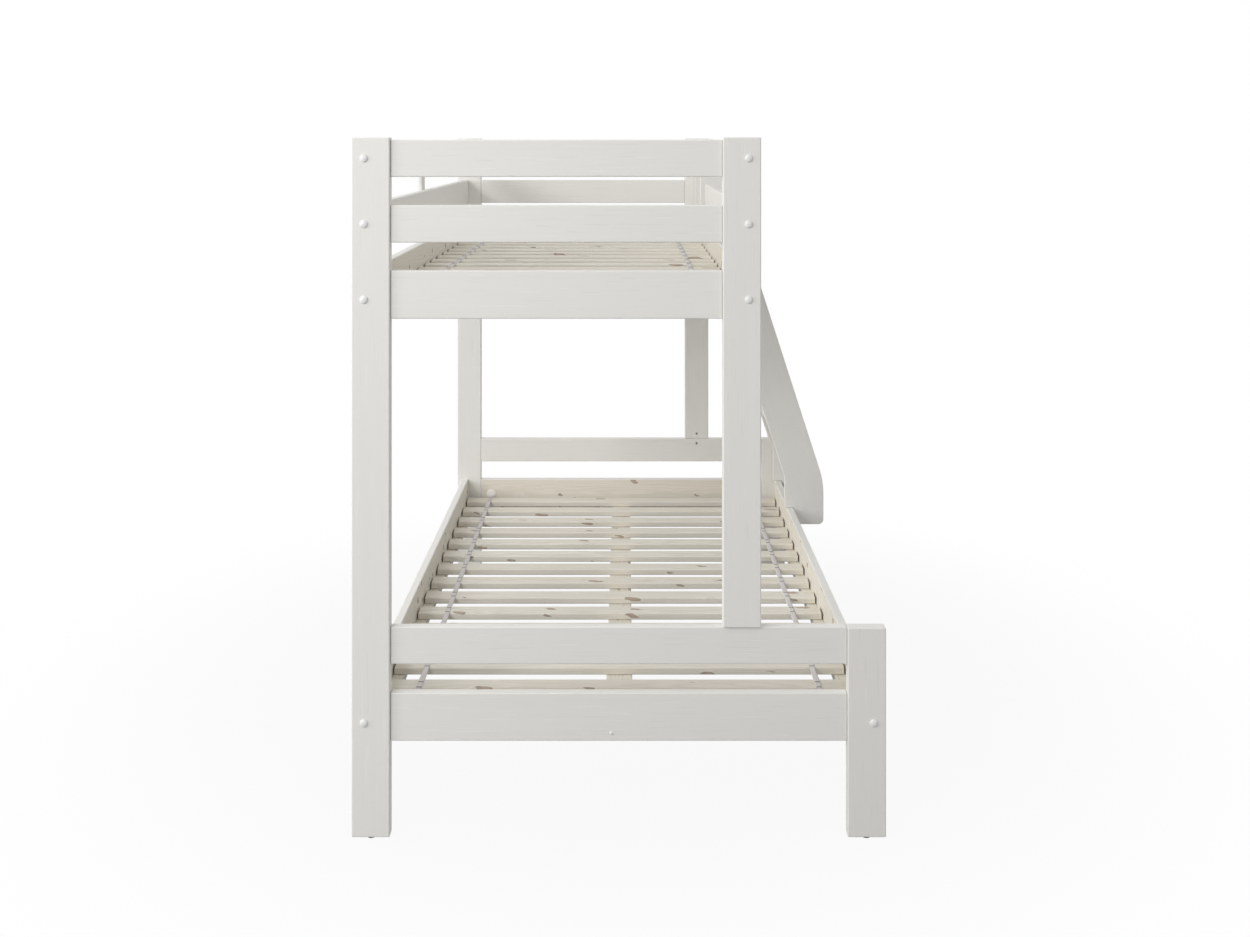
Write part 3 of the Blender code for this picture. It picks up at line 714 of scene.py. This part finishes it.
def board(name, low, high, axis, materials, radius=EDGE_RADIUS, rim=RIM_RADIUS, bare=(), hole=None):
    """A board between two corners, along axis 0, 1 or 2: its rounded section, swept along the axis.

    bare lists the outward directions whose flat faces take the second material.  hole is a tuple of
    a face's direction, the hole's place, radius and depth; its inside takes the third.
    """
    low, high = np.asarray(low), np.asarray(high)
    size, middle = high - low, (low + high) / 2
    first, second = (axis + 1) % 3, (axis + 2) % 3
    width, depth = size[first], size[second]
    outline, outward = rounded_outline([(0, 0), (width, 0), (width, depth), (0, depth)], radius)
    local, local_normals = swept_surface(outline, outward, size[axis], rim)
    order = np.argsort((first, second, axis))
    points = local[..., order].reshape(-1, 3) + low
    normals = local_normals[..., order].reshape(-1, 3)
    faces = closed_faces(*local.shape[:2])
    corner_normals = normals[np.concatenate(faces)]
    if hole is not None:
        points, faces, corner_normals = drill(points, normals, faces, corner_normals, *hole)
    wide, thin = (first, second) if width > depth else (second, first)
    timber = cut_from_log(points[:, axis] - low[axis], points[:, wide] - middle[wide],
                          points[:, thin] - middle[thin])
    mesh = board_mesh(name, points, corner_normals, faces, timber, materials)
    choose_materials(mesh, bare, hole is not None)
    return mesh


print("long edges are rounded by", EDGE_RADIUS * 1000, "mm and ends by", RIM_RADIUS * 1000, "mm")

# %% A board for a solid
TOUCH_GAP = 0.0003
INWARD = {"left": (1, 0, 0), "right": (-1, 0, 0), "front": (0, 1, 0), "back": (0, -1, 0)}


def body_of_node(node):
    """The name of the body that a solid rides on."""
    return frame["nodes"][node].parent.name.removeprefix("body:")


def shoulders(node):
    """The ends of an end rail's visible length; its solid also has tenons that reach into the posts."""
    level = "upper" if "guard" in node or "upper" in node else "lower"
    end = node.rsplit("_", 1)[1]
    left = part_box(f"post_left_{end}")[1][0]
    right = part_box(f"post_{level}_right_{end}")[0][0]
    return left + TOUCH_GAP, right - TOUCH_GAP


def dress_board(node, axis, bare=(), hole=None):
    """A lacquered board that stands for one solid; tenons and bolt holes are left out."""
    low, high = (np.array(corner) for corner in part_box(node))
    if axis == 0:
        low[0], high[0] = shoulders(node)
    name = node + "_board"
    # a hole's inside takes the end grain, darkened as painted shade for the depth of the hole
    mesh = board(name, low, high, axis, [lacquer, rail_pine, end_grain], bare=bare, hole=hole)
    finish_piece(name, mesh, body_of_node(node), [node])


print("the lowest tread rides on the body named", body_of_node("ladder_tread_1"))

# %% Posts and end rails
LOCK_HOLE_RADIUS = 0.004
LOCK_HOLE_DEPTH = 0.011
LOCK_HOLE_RISE = 0.020
LOCK_HOLE_DROP = 0.018

for end in ("front", "back"):
    rail_low, rail_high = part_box(f"middle_rail_{end}")
    pin_low, pin_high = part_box(f"connector_pin_{end}")
    lock_x = (pin_low[0] + pin_high[0]) / 2
    inner_y = rail_high[1] if end == "front" else rail_low[1]
    lock_holes = {
        node: (INWARD[end], (lock_x, inner_y, rail_high[2] + rise), LOCK_HOLE_RADIUS, LOCK_HOLE_DEPTH)
        for node, rise in ((f"post_upper_right_{end}", LOCK_HOLE_RISE),
                           (f"middle_rail_{end}", -LOCK_HOLE_DROP))}
    for post in ("post_left", "post_lower_right", "post_upper_right"):
        dress_board(f"{post}_{end}", 2, hole=lock_holes.get(f"{post}_{end}"))
    for rail in ("top_guard", "middle_guard", "middle_rail"):
        dress_board(f"{rail}_{end}", 0, hole=lock_holes.get(f"{rail}_{end}"))
    for rail in ("bed_end_rail_upper", "bed_end_rail_lower"):
        dress_board(f"{rail}_{end}", 0, bare=[INWARD[end]])
print(len(pieces_made), "boards at the two ends")

# %% Side rails, side guards, battens and treads
for side in ("left", "right"):
    for rail in ("side_rail_lower", "side_rail_upper"):
        dress_board(f"{rail}_{side}", 1, bare=[INWARD[side]])
    for guard in ("top_guard", "middle_guard"):
        dress_board(f"{guard}_{side}", 1)
    dress_board(f"guard_batten_{side}", 2)
for number in range(1, 5):
    dress_board(f"ladder_tread_{number}", 1)
print(len(pieces_made), "boards so far")

# %% [markdown]
# Slat beds
#
# Fifteen loose slats lie across each bed on ledgers.  Their upper long edges are well rounded and
# their ends are left as sawn.  The solid in the frame holds all slats of a bed in one.  An Array
# modifier could repeat a single slat, but then all would show the same knots, so here each slat is a
# board of its own, cut from another part of the log.

# %% Slats
SLAT_COUNT = 15
SLAT_WIDTH = 0.060
SLAT_THICKNESS = 0.020
SLAT_END_GAP = 0.026
SLAT_ROUNDING = (0.0036, 0.0036, 0.0050, 0.0050)
SLAT_RIM = 0.0008

rail_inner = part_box("bed_end_rail_lower_front")[1][1]


def slat_places(label):
    """The slats' middles along the bed, and the low and high corner of their common layer."""
    low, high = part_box(f"slat_roll_{label}")
    first = rail_inner + SLAT_END_GAP + SLAT_WIDTH / 2
    return np.linspace(first, -first, SLAT_COUNT), low, (high[0], high[1], low[2] + SLAT_THICKNESS)


for label in ("lower", "upper"):
    middles, low, high = slat_places(label)
    for number, middle in enumerate(middles, start=1):
        name = f"slat_{label}_{number:02d}"
        # the sawn ends take the end grain, darkened as painted shade for the gap next to the rail
        mesh = board(name, (low[0], middle - SLAT_WIDTH / 2, low[2]),
                     (high[0], middle + SLAT_WIDTH / 2, high[2]), 0, [slat_pine, end_grain],
                     radius=SLAT_ROUNDING, rim=SLAT_RIM, bare=[(1, 0, 0), (-1, 0, 0)])
        finish_piece(name, mesh, "bed_frame", [f"slat_roll_{label}"])
    print(label, "slats are", round(float(middles[1] - middles[0]), 4), "m apart")

# %% Ledgers and the centre beam
LEDGER_RADIUS = 0.0022
LEDGER_RIM = 0.0020

for label in ("lower", "upper"):
    for side in ("left", "right"):
        node = f"ledger_{label}_{side}"
        mesh = board(node + "_strip", *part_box(node), 1, [slat_pine],
                     radius=LEDGER_RADIUS, rim=LEDGER_RIM)
        finish_piece(node + "_strip", mesh, "bed_frame", [node])
beam_low, beam_high = (np.array(corner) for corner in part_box("centre_beam"))
beam_low[1], beam_high[1] = rail_inner + TOUCH_GAP, -rail_inner - TOUCH_GAP
mesh = board("centre_beam_board", beam_low, beam_high, 1, [slat_pine])
finish_piece("centre_beam_board", mesh, "bed_frame", ["centre_beam"])
print("the beam spans", round(float(beam_high[1] - beam_low[1]), 4), "m between the end rails")

# %% [markdown]
# The ladder's sides
#
# Each side of the ladder is one wide plank, sawn to hook over both side rails and rounded where it
# turns down to its foot.  As a sawn outline it could be a filled curve, but the swept surface above
# takes any outline: here the outline is the whole side, and the sweep goes through its thickness.

# %% Outline of a ladder side
LADDER_TOP_WIDTH = 0.048
LADDER_PLANK_WIDTH = 0.129
LADDER_FOOT_WIDTH = 0.1406
LADDER_BEND_RISE = 0.0953
LADDER_BEND_RADIUS = 0.300
LADDER_FOOT_RADIUS = 0.018
LADDER_TOP_RADIUS = 0.006
HOOK_THICKNESS = 0.012
HOOK_DEPTH = 0.025
HOOK_CLEARANCE = 0.001
SAWN_CORNER = 0.0034
NOTCH_CORNER = 0.0015


def ladder_side_outline(low, high):
    """The side's corners in X and Z with their radii, counter-clockwise, and its slanted edges' lean.

    The lean is how far an edge goes sideways for each metre up.  The inner edge is parallel to the
    outer one, a plank's width away.
    """
    upper_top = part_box("side_rail_upper_right")[1]
    lower_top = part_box("side_rail_lower_right")[1]
    top_outer = low[0] + LADDER_TOP_WIDTH
    bend_level = lower_top[2] + LADDER_BEND_RISE
    lean = (high[0] - top_outer) / (high[2] - bend_level)
    foot_inner = high[0] - LADDER_FOOT_WIDTH
    inner_line = high[0] - LADDER_PLANK_WIDTH * math.hypot(1, lean)

    def slant_level(x):
        return bend_level + (inner_line - x) / lean

    rail_side, foot_side = upper_top[0] + HOOK_CLEARANCE, lower_top[0] + HOOK_CLEARANCE
    shoulder, seat = upper_top[2] + TOUCH_GAP, lower_top[2] + TOUCH_GAP
    hook_outer = low[0] + HOOK_THICKNESS
    corners = [
        (low[0], high[2], LADDER_TOP_RADIUS), (low[0], shoulder - HOOK_DEPTH, SAWN_CORNER),
        (hook_outer, shoulder - HOOK_DEPTH, SAWN_CORNER), (hook_outer, shoulder, NOTCH_CORNER),
        (rail_side, shoulder, NOTCH_CORNER), (rail_side, slant_level(rail_side), NOTCH_CORNER),
        (foot_inner, slant_level(foot_inner), NOTCH_CORNER), (foot_inner, seat, SAWN_CORNER),
        (foot_side, seat, NOTCH_CORNER), (foot_side, low[2], SAWN_CORNER),
        (high[0], low[2], LADDER_FOOT_RADIUS), (high[0], bend_level, LADDER_BEND_RADIUS),
        (top_outer, high[2], LADDER_TOP_RADIUS)]
    return np.array(corners), lean


corners, lean = ladder_side_outline(*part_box("ladder_stringer_front"))
print("the ladder leans by", round(lean, 4))

# %% Ladder sides
for end in ("front", "back"):
    node = f"ladder_stringer_{end}"
    low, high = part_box(node)
    corners, lean = ladder_side_outline(low, high)
    outline, outward = rounded_outline(corners[:, :2], corners[:, 2], steps=10)
    local, local_normals = swept_surface(outline, outward, high[1] - low[1], RIM_RADIUS)
    points = np.stack((local[..., 0], high[1] - local[..., 2], local[..., 1]), axis=-1).reshape(-1, 3)
    normals = np.stack((local_normals[..., 0], -local_normals[..., 2], local_normals[..., 1]),
                       axis=-1).reshape(-1, 3)
    faces = closed_faces(*local.shape[:2])
    grain = np.array((-lean, 1.0)) / math.hypot(1, lean)
    flat = points[:, [0, 2]] - corners[:, :2].mean(axis=0)
    timber = cut_from_log(flat @ grain, flat @ np.array((grain[1], -grain[0])), points[:, 1] - low[1])
    mesh = board_mesh(node + "_plank", points, normals[np.concatenate(faces)], faces, timber, [lacquer])
    finish_piece(node + "_plank", mesh, "ladder", [node])
    print("the", end, "side has", len(faces), "faces")

# %% [markdown]
# Turned pieces
#
# Bolt caps, plugs, discs, screws and glides are round.  A Screw modifier on a profile would turn
# them; here the same is done on arrays: the profile is one parameter and the turn is the other.

# %% Turn a profile
CREASE_ANGLE = math.radians(40)


def turned_mesh(name, profile, centre, axis, material, sides=32):
    """f(u, v): each point (radius, height) of the profile, carried round the axis through centre.

    The point at turn u is centre + height * axis + radius * (cos u * side + sin u * up).  The profile
    starts and ends on the axis, where its ring closes to one point.
    """
    profile = np.asarray(profile, float)
    axis = np.asarray(axis, float)
    side = np.cross(Z_WAY if abs(axis[2]) < 0.5 else X_WAY, axis)
    spoke = circle(sides, side, np.cross(axis, side))
    rings = profile[1:-1]
    body = np.asarray(centre) + rings[:, None, :1] * spoke + rings[:, None, 1:] * axis
    poles = np.asarray(centre) + profile[[0, -1], 1:] * axis
    turn = np.arange(sides)
    after = np.roll(turn, -1)
    pole = np.full(sides, len(rings) * sides)
    last = (len(rings) - 1) * sides
    fans = np.concatenate((np.stack((pole, after, turn), axis=-1),
                           np.stack((pole + 1, last + turn, last + after), axis=-1)))
    points = np.concatenate((body.reshape(-1, 3), poles))
    mesh = new_mesh(name, points, ring_quads(len(rings), sides) + fans.tolist(), material)
    mesh.shade_smooth()
    mesh.set_sharp_from_angle(angle=CREASE_ANGLE)
    return mesh


print("edges sharper than", round(math.degrees(CREASE_ANGLE)), "degrees stay crisp")

# %% Profile of a dome


def dome(radius, height, foot, shank_radius, shank_length, steps=9):
    """A profile from the inner end of the shank, round the cap's lip, up to the top of the dome."""
    rise = np.linspace(math.pi / 2, 0, steps)
    arch = np.stack((radius * np.sin(rise), foot + (height - foot) * np.cos(rise)), axis=1)
    base = [(0, -shank_length), (shank_radius, -shank_length), (shank_radius, 0), (radius, 0)]
    return np.concatenate((base, arch))


print("a dome's profile has", len(dome(1.0, 0.5, 0.1, 0.4, 2.0)), "points")

# %% [markdown]
# Bolt caps
#
# Each bolt ends in a white domed cap, and the screw that holds the centre beam in a flatter one.  A
# squashed sphere would look the part from the front, but the turned dome also has the small upright
# lip that the real cap stands on.

# %% Bolt caps and the beam's screw
CAP_SHAPE = (0.0050, 0.0008)  # the height of the cap and of its upright lip
SCREW_CAP_SHAPE = (0.0020, 0.0002)
SHANK_SHARE = 0.42
SHANK_LENGTH = 0.0305

for node in sorted(frame["nodes"]):
    if not node.startswith(("bolt_", "beam_screw")):
        continue
    low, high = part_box(node)
    outward = -1.0 if node.endswith("front") else 1.0
    radius = (high[0] - low[0]) / 2
    tip = low[1] if outward < 0 else high[1]
    height, foot = CAP_SHAPE if node.startswith("bolt_") else SCREW_CAP_SHAPE
    centre = ((low[0] + high[0]) / 2, tip - outward * height, (low[2] + high[2]) / 2)
    profile = dome(radius, height, foot, radius * SHANK_SHARE, SHANK_LENGTH)
    mesh = turned_mesh(node + "_cap", profile, centre, (0, outward, 0), cap_plastic)
    finish_piece(node + "_cap", mesh, "bed_frame", [node])
print(sum(name.endswith("_cap") for name in pieces_made), "caps")

# %% [markdown]
# Glides and pins
#
# A nailed plastic glide keeps each post off the floor.  A plain disc would do at a distance; turned
# from a profile it also gets a dished foot, a soft rim and its nail.  The steel pins that join the
# upper right posts to the rails below are hidden in the wood; they stay as they are, in zinc.

# %% Glides and pins
GLIDE_THICKNESS = 0.004
NAIL_RADIUS = 0.0015
NAIL_LENGTH = 0.012


def glide_profile(radius):
    """From the dished middle of the foot, round the soft rim, to the top of the nail."""
    top, nail_top = GLIDE_THICKNESS, GLIDE_THICKNESS + NAIL_LENGTH
    dish = [(0, 0.0006), (0.0032, 0.0006), (0.0040, 0)]
    rim = [(radius - 0.0012, 0), (radius - 0.0003, 0.0004), (radius, 0.0012),
           (radius, top - 0.0005), (radius - 0.0006, top)]
    nail = [(NAIL_RADIUS, top), (NAIL_RADIUS, nail_top), (0, nail_top)]
    return dish + rim + nail


for node in sorted(frame["nodes"]):
    if not node.startswith("glide_"):
        continue
    low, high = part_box(node)
    radius = (high[0] - low[0]) / 2
    centre = ((low[0] + high[0]) / 2, (low[1] + high[1]) / 2, low[2])
    mesh = turned_mesh(node + "_pad", glide_profile(radius), centre, (0, 0, 1), glide_plastic)
    finish_piece(node + "_pad", mesh, "bed_frame", [node])
for end in ("front", "back"):
    frame["nodes"][f"connector_pin_{end}"].material_slots[0].material = zinc
print("the glides are", round(2000 * radius, 1), "mm across")

# %% [markdown]
# The tapes
#
# Two woven tapes run over the slats of each bed and space them; each end is held to the end rail by a
# round disc.  A tape could be one flat strip, but it shows best as it lies: flat on each slat, a
# little slack between two slats, and turned up against the rail at both ends.  Its path is one curve
# in height over length, and the strip is that path times the tape's width.  The weave is ribs across
# the tape and fine threads along it, both read from the strip's own UV map in metres.

# %% Tape weave
TAPE_COLOUR = (0.755, 0.722, 0.706)
TAPE_HOLLOW_SHADE = 0.74
TAPE_CROWN_HIGHLIGHT = 1.08
TAPE_RIB = 0.0026
TAPE_THREAD = 0.0011

tape_weave, tree, shader = new_material("tape_weave")
uv = add_node(tree, "UVMap", uv_map="weave").outputs["UV"]
place = add_node(tree, "SeparateXYZ", {0: uv}).outputs
wander = add_node(tree, "TexNoise", {"Vector": uv, "Scale": 90.0, "Detail": 2.0}).outputs["Fac"]
rib = add_math(tree, "SINE", weighted(tree, (place[1], 2 * math.pi / TAPE_RIB), (wander, 1.5)))
thread = add_math(tree, "SINE", add_math(tree, "MULTIPLY", place[0], 2 * math.pi / TAPE_THREAD))
relief = weighted(tree, (rib, 0.35), (thread, 0.15), (1.0, 0.5))
# the colour follows the relief: painted shade in the weave's hollows, painted highlight on its crowns
dark = [channel * TAPE_HOLLOW_SHADE for channel in TAPE_COLOUR] + [1.0]
light = [channel * TAPE_CROWN_HIGHLIGHT for channel in TAPE_COLOUR] + [1.0]
set_inputs(tree, shader, {"Base Color": mix_colours(tree, relief, dark, light), "Roughness": 0.82})
add_relief(tree, shader, relief, strength=0.55, distance=0.0004)
print("the weave has", round(1 / TAPE_RIB), "ribs a metre")

# %% A tape's path
TAPE_THICKNESS = 0.0009
TAPE_SAG = 0.0022
TAPE_TURN = 0.007
TAPE_UPTURN = 0.012
TAPE_STANDOFF = 0.0004
PATH_STEPS = 1400
BEND_STEPS = 8


def tape_path(middles, slat_top):
    """Points (y, z) along a tape, from its upturned near end to its upturned far end.

    On a slat the height is the slat's top; between two slats it drops by sag times one minus the
    square of the distance from mid-gap, as a slack line does.
    """
    lift = TAPE_THICKNESS / 2
    edge = SLAT_WIDTH / 2 - SLAT_ROUNDING[2] * 0.5
    start = rail_inner + lift + TAPE_STANDOFF
    along = np.linspace(start + TAPE_TURN, -start - TAPE_TURN, PATH_STEPS)
    nearest = middles[np.abs(along[:, None] - middles).argmin(axis=1)]
    past_edge = np.clip(np.abs(along - nearest) - edge, 0, None)
    half_gap = (middles[1] - middles[0]) / 2 - edge
    share = np.where(np.abs(along) < middles[-1], np.clip(past_edge / half_gap, 0, 1), 0)
    height = slat_top + lift - TAPE_SAG * (1 - (1 - share) ** 2)
    bend = np.linspace(0, math.pi / 2, BEND_STEPS)[-2::-1]
    near = np.stack((start + TAPE_TURN * (1 - np.sin(bend)),
                     slat_top + lift + TAPE_TURN * (1 - np.cos(bend))), axis=1)
    head = np.concatenate(([(start, slat_top + lift + TAPE_UPTURN)], near))
    return np.concatenate((head, np.stack((along, height), axis=1), head[::-1] * (-1, 1)))


print("a tape's path has", len(tape_path(middles, 0.0)), "points")

# %% A tape's strip
TAPE_WIDTH = 0.015


def tape_mesh(name, x, path):
    """f(u, v): across the width and along the path; the UV map holds metres; also gives the length."""
    across = np.linspace(-TAPE_WIDTH / 2, TAPE_WIDTH / 2, 5)
    run = np.concatenate(((0,), np.cumsum(np.linalg.norm(np.diff(path, axis=0), axis=1))))
    points = np.empty((len(path), len(across), 3))
    points[..., 0] = x + across
    points[..., 1] = path[:, :1]
    points[..., 2] = path[:, 1:]
    row, column = np.mgrid[:len(path) - 1, :len(across) - 1]
    corner = row * len(across) + column
    quads = np.stack((corner, corner + 1, corner + len(across) + 1, corner + len(across)), axis=-1)
    mesh = new_mesh(name, points, quads.reshape(-1, 4).tolist(), tape_weave)
    weave = mesh.uv_layers.new(name="weave")
    uv = np.stack(np.broadcast_arrays(across, run[:, None]), axis=-1).reshape(-1, 2)
    weave.data.foreach_set("uv", uv[quads.ravel()].astype(np.float32).ravel())
    mesh.shade_smooth()
    return mesh, run[-1]


print("the tapes are", TAPE_WIDTH * 1000, "mm wide")

# %% Clips on a tape
CLIP_OFFSETS = (0.0145, -0.0185)
CLIP_PITCH = 1.006
CLIP_SIZE = (0.0136, 0.0042, 0.0009)
CLIP_TAPER = 0.8
CLIP_SUNK = 0.2


def clip_mesh(name, x, middles, slat_top):
    """Two flat clips on each slat, across the tape, as one mesh: each is a low wedge-topped bar.

    The bar's foot is its full length and breadth, and its top is drawn in on all sides by CLIP_TAPER
    of its height.  The clips' pitch along the tape is a little longer than the slats' own.
    """
    length, breadth, height = CLIP_SIZE
    foot = np.array([(a, b, 0) for b in (-1, 1) for a in (-1, 1)]) * (length / 2, breadth / 2, 0)
    top = foot - np.sign(foot) * height * CLIP_TAPER + (0, 0, height)
    block = np.concatenate((foot, top))
    sides = np.array([(0, 2, 3, 1), (4, 5, 7, 6), (0, 1, 5, 4),
                      (2, 6, 7, 3), (0, 4, 6, 2), (1, 3, 7, 5)])
    places = np.add.outer(middles * CLIP_PITCH, CLIP_OFFSETS).ravel()
    level = slat_top + TAPE_THICKNESS - height * CLIP_SUNK
    centres = np.stack(np.broadcast_arrays(x, places, level), axis=-1)
    faces = (np.arange(len(centres))[:, None, None] * len(block) + sides).reshape(-1, 4)
    return new_mesh(name, centres[:, None] + block, faces.tolist(), dull_steel)


print("the two clips on a slat are", round(1000 * (CLIP_OFFSETS[0] - CLIP_OFFSETS[1])), "mm apart")

# %% Discs at a tape's ends
DISC_RADIUS = 0.0185
DISC_THICKNESS = 0.0028
DISC_RISE = 0.0085
DISC_EDGE = 0.0012
DISC_LIP = 0.0004
DISC_STANDOFF = 0.0006


def disc_profile():
    """From the back of the disc round its bevelled edge to the middle of its front."""
    radius, thick = DISC_RADIUS, DISC_THICKNESS
    return [(0, 0), (radius - DISC_LIP, 0), (radius, DISC_LIP), (radius, thick - DISC_EDGE),
            (radius - DISC_LIP, thick - DISC_LIP), (radius - DISC_EDGE, thick), (0, thick)]


def add_discs(label, side, x, slat_top):
    """Presses a tape's two ends against the end rails."""
    for end, towards in (("front", 1.0), ("back", -1.0)):
        name = f"tape_disc_{label}_{side}_{end}"
        face = towards * rail_inner + towards * (TAPE_THICKNESS + DISC_STANDOFF)
        mesh = turned_mesh(name, disc_profile(), (x, face, slat_top + DISC_RISE), (0, towards, 0),
                           disc_plastic, sides=40)
        finish_piece(name, mesh, "bed_frame", [f"slat_roll_{label}"])


print("the discs are", 2000 * DISC_RADIUS, "mm across")

# %% Lay the tapes
TAPE_INSET = 0.090

for label in ("lower", "upper"):
    middles, low, high = slat_places(label)
    slat_top = high[2]
    path = tape_path(middles, slat_top)
    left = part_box(f"side_rail_{label}_left")[1][0] + TAPE_INSET
    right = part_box(f"side_rail_{label}_right")[0][0] - TAPE_INSET
    for side, x in (("left", left), ("right", right)):
        name = f"tape_{label}_{side}"
        mesh, run = tape_mesh(name, x, path)
        tape = finish_piece(name, mesh, "bed_frame", [f"slat_roll_{label}"])
        wall = tape.modifiers.new("thickness", "SOLIDIFY")
        wall.thickness = TAPE_THICKNESS
        wall.offset = 0.0
        clips = f"tape_clips_{label}_{side}"
        finish_piece(clips, clip_mesh(clips, x, middles, slat_top), "bed_frame")
        add_discs(label, side, x, slat_top)
    print(label, "tapes are", round(float(run), 3), "m long")

# %% [markdown]
# Plugs and screws
#
# Where a tread is screwed on, two small plugs show on the outside of each ladder side.  The ledgers
# and the guard battens are screwed too, with plain countersunk heads.  Painted dots would show from
# straight ahead alone; low turned domes also catch the light from the side.

# %% Plugs on the ladder
PLUG_RADIUS = 0.0040
PLUG_HEIGHT = 0.0010
PLUG_SPACING = 0.062


def plug_profile(radius, height):
    """A low dome on a short, slightly narrower shank."""
    return dome(radius, height, height * 0.3, radius * 0.8, 0.002, steps=6)


for number in range(1, 5):
    low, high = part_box(f"ladder_tread_{number}")
    centre_x, level = (low[0] + high[0]) / 2, (low[2] + high[2]) / 2
    for end, outward in (("front", -1.0), ("back", 1.0)):
        side_low, side_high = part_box(f"ladder_stringer_{end}")
        face = side_low[1] if outward < 0 else side_high[1]
        for hand, offset in (("a", -PLUG_SPACING / 2), ("b", PLUG_SPACING / 2)):
            name = f"tread_plug_{number}_{end}_{hand}"
            profile = plug_profile(PLUG_RADIUS, PLUG_HEIGHT)
            mesh = turned_mesh(name, profile, (centre_x + offset, face, level), (0, outward, 0),
                               cap_plastic, sides=20)
            finish_piece(name, mesh, "ladder")
print(sum(name.startswith("tread_plug") for name in pieces_made), "plugs")

# %% Screws in the ledgers
SCREW_RADIUS = 0.0040
SCREW_HEIGHT = 0.0006
LEDGER_SCREWS = 6


def add_screw(name, place, towards):
    """A countersunk head at a place, facing along +X or -X."""
    profile = plug_profile(SCREW_RADIUS, SCREW_HEIGHT)
    mesh = turned_mesh(name, profile, place, (towards, 0, 0), zinc, sides=16)
    finish_piece(name, mesh, "bed_frame")


gaps = (middles[1:] + middles[:-1]) / 2
screw_places = gaps[np.linspace(0, len(gaps) - 1, LEDGER_SCREWS).astype(int)]
for label in ("lower", "upper"):
    for side in ("left", "right"):
        low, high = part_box(f"ledger_{label}_{side}")
        face, towards = (high[0], 1.0) if side == "left" else (low[0], -1.0)
        for number, y in enumerate(screw_places, start=1):
            place = (face, y, (low[2] + high[2]) / 2)
            add_screw(f"ledger_screw_{label}_{side}_{number}", place, towards)
print("each ledger has a screw near y =", [round(float(y), 2) for y in screw_places])

# %% Screws in the battens
BATTEN_INSET = 0.018

for side, towards in (("left", -1.0), ("right", 1.0)):
    low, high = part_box(f"guard_batten_{side}")
    face = low[0] if side == "left" else high[0]
    for rank in ("top_guard", "middle_guard", "side_rail_upper"):
        board_low, board_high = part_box(f"{rank}_{side}")
        reach = min(board_high[2], high[2]) - max(board_low[2], low[2])
        level = max(board_low[2], low[2]) + reach / 2
        for hand, y in (("a", low[1] + BATTEN_INSET), ("b", high[1] - BATTEN_INSET)):
            add_screw(f"batten_screw_{rank}_{side}_{hand}", (face, y, level), towards)
print(len(pieces_made), "pieces in all")
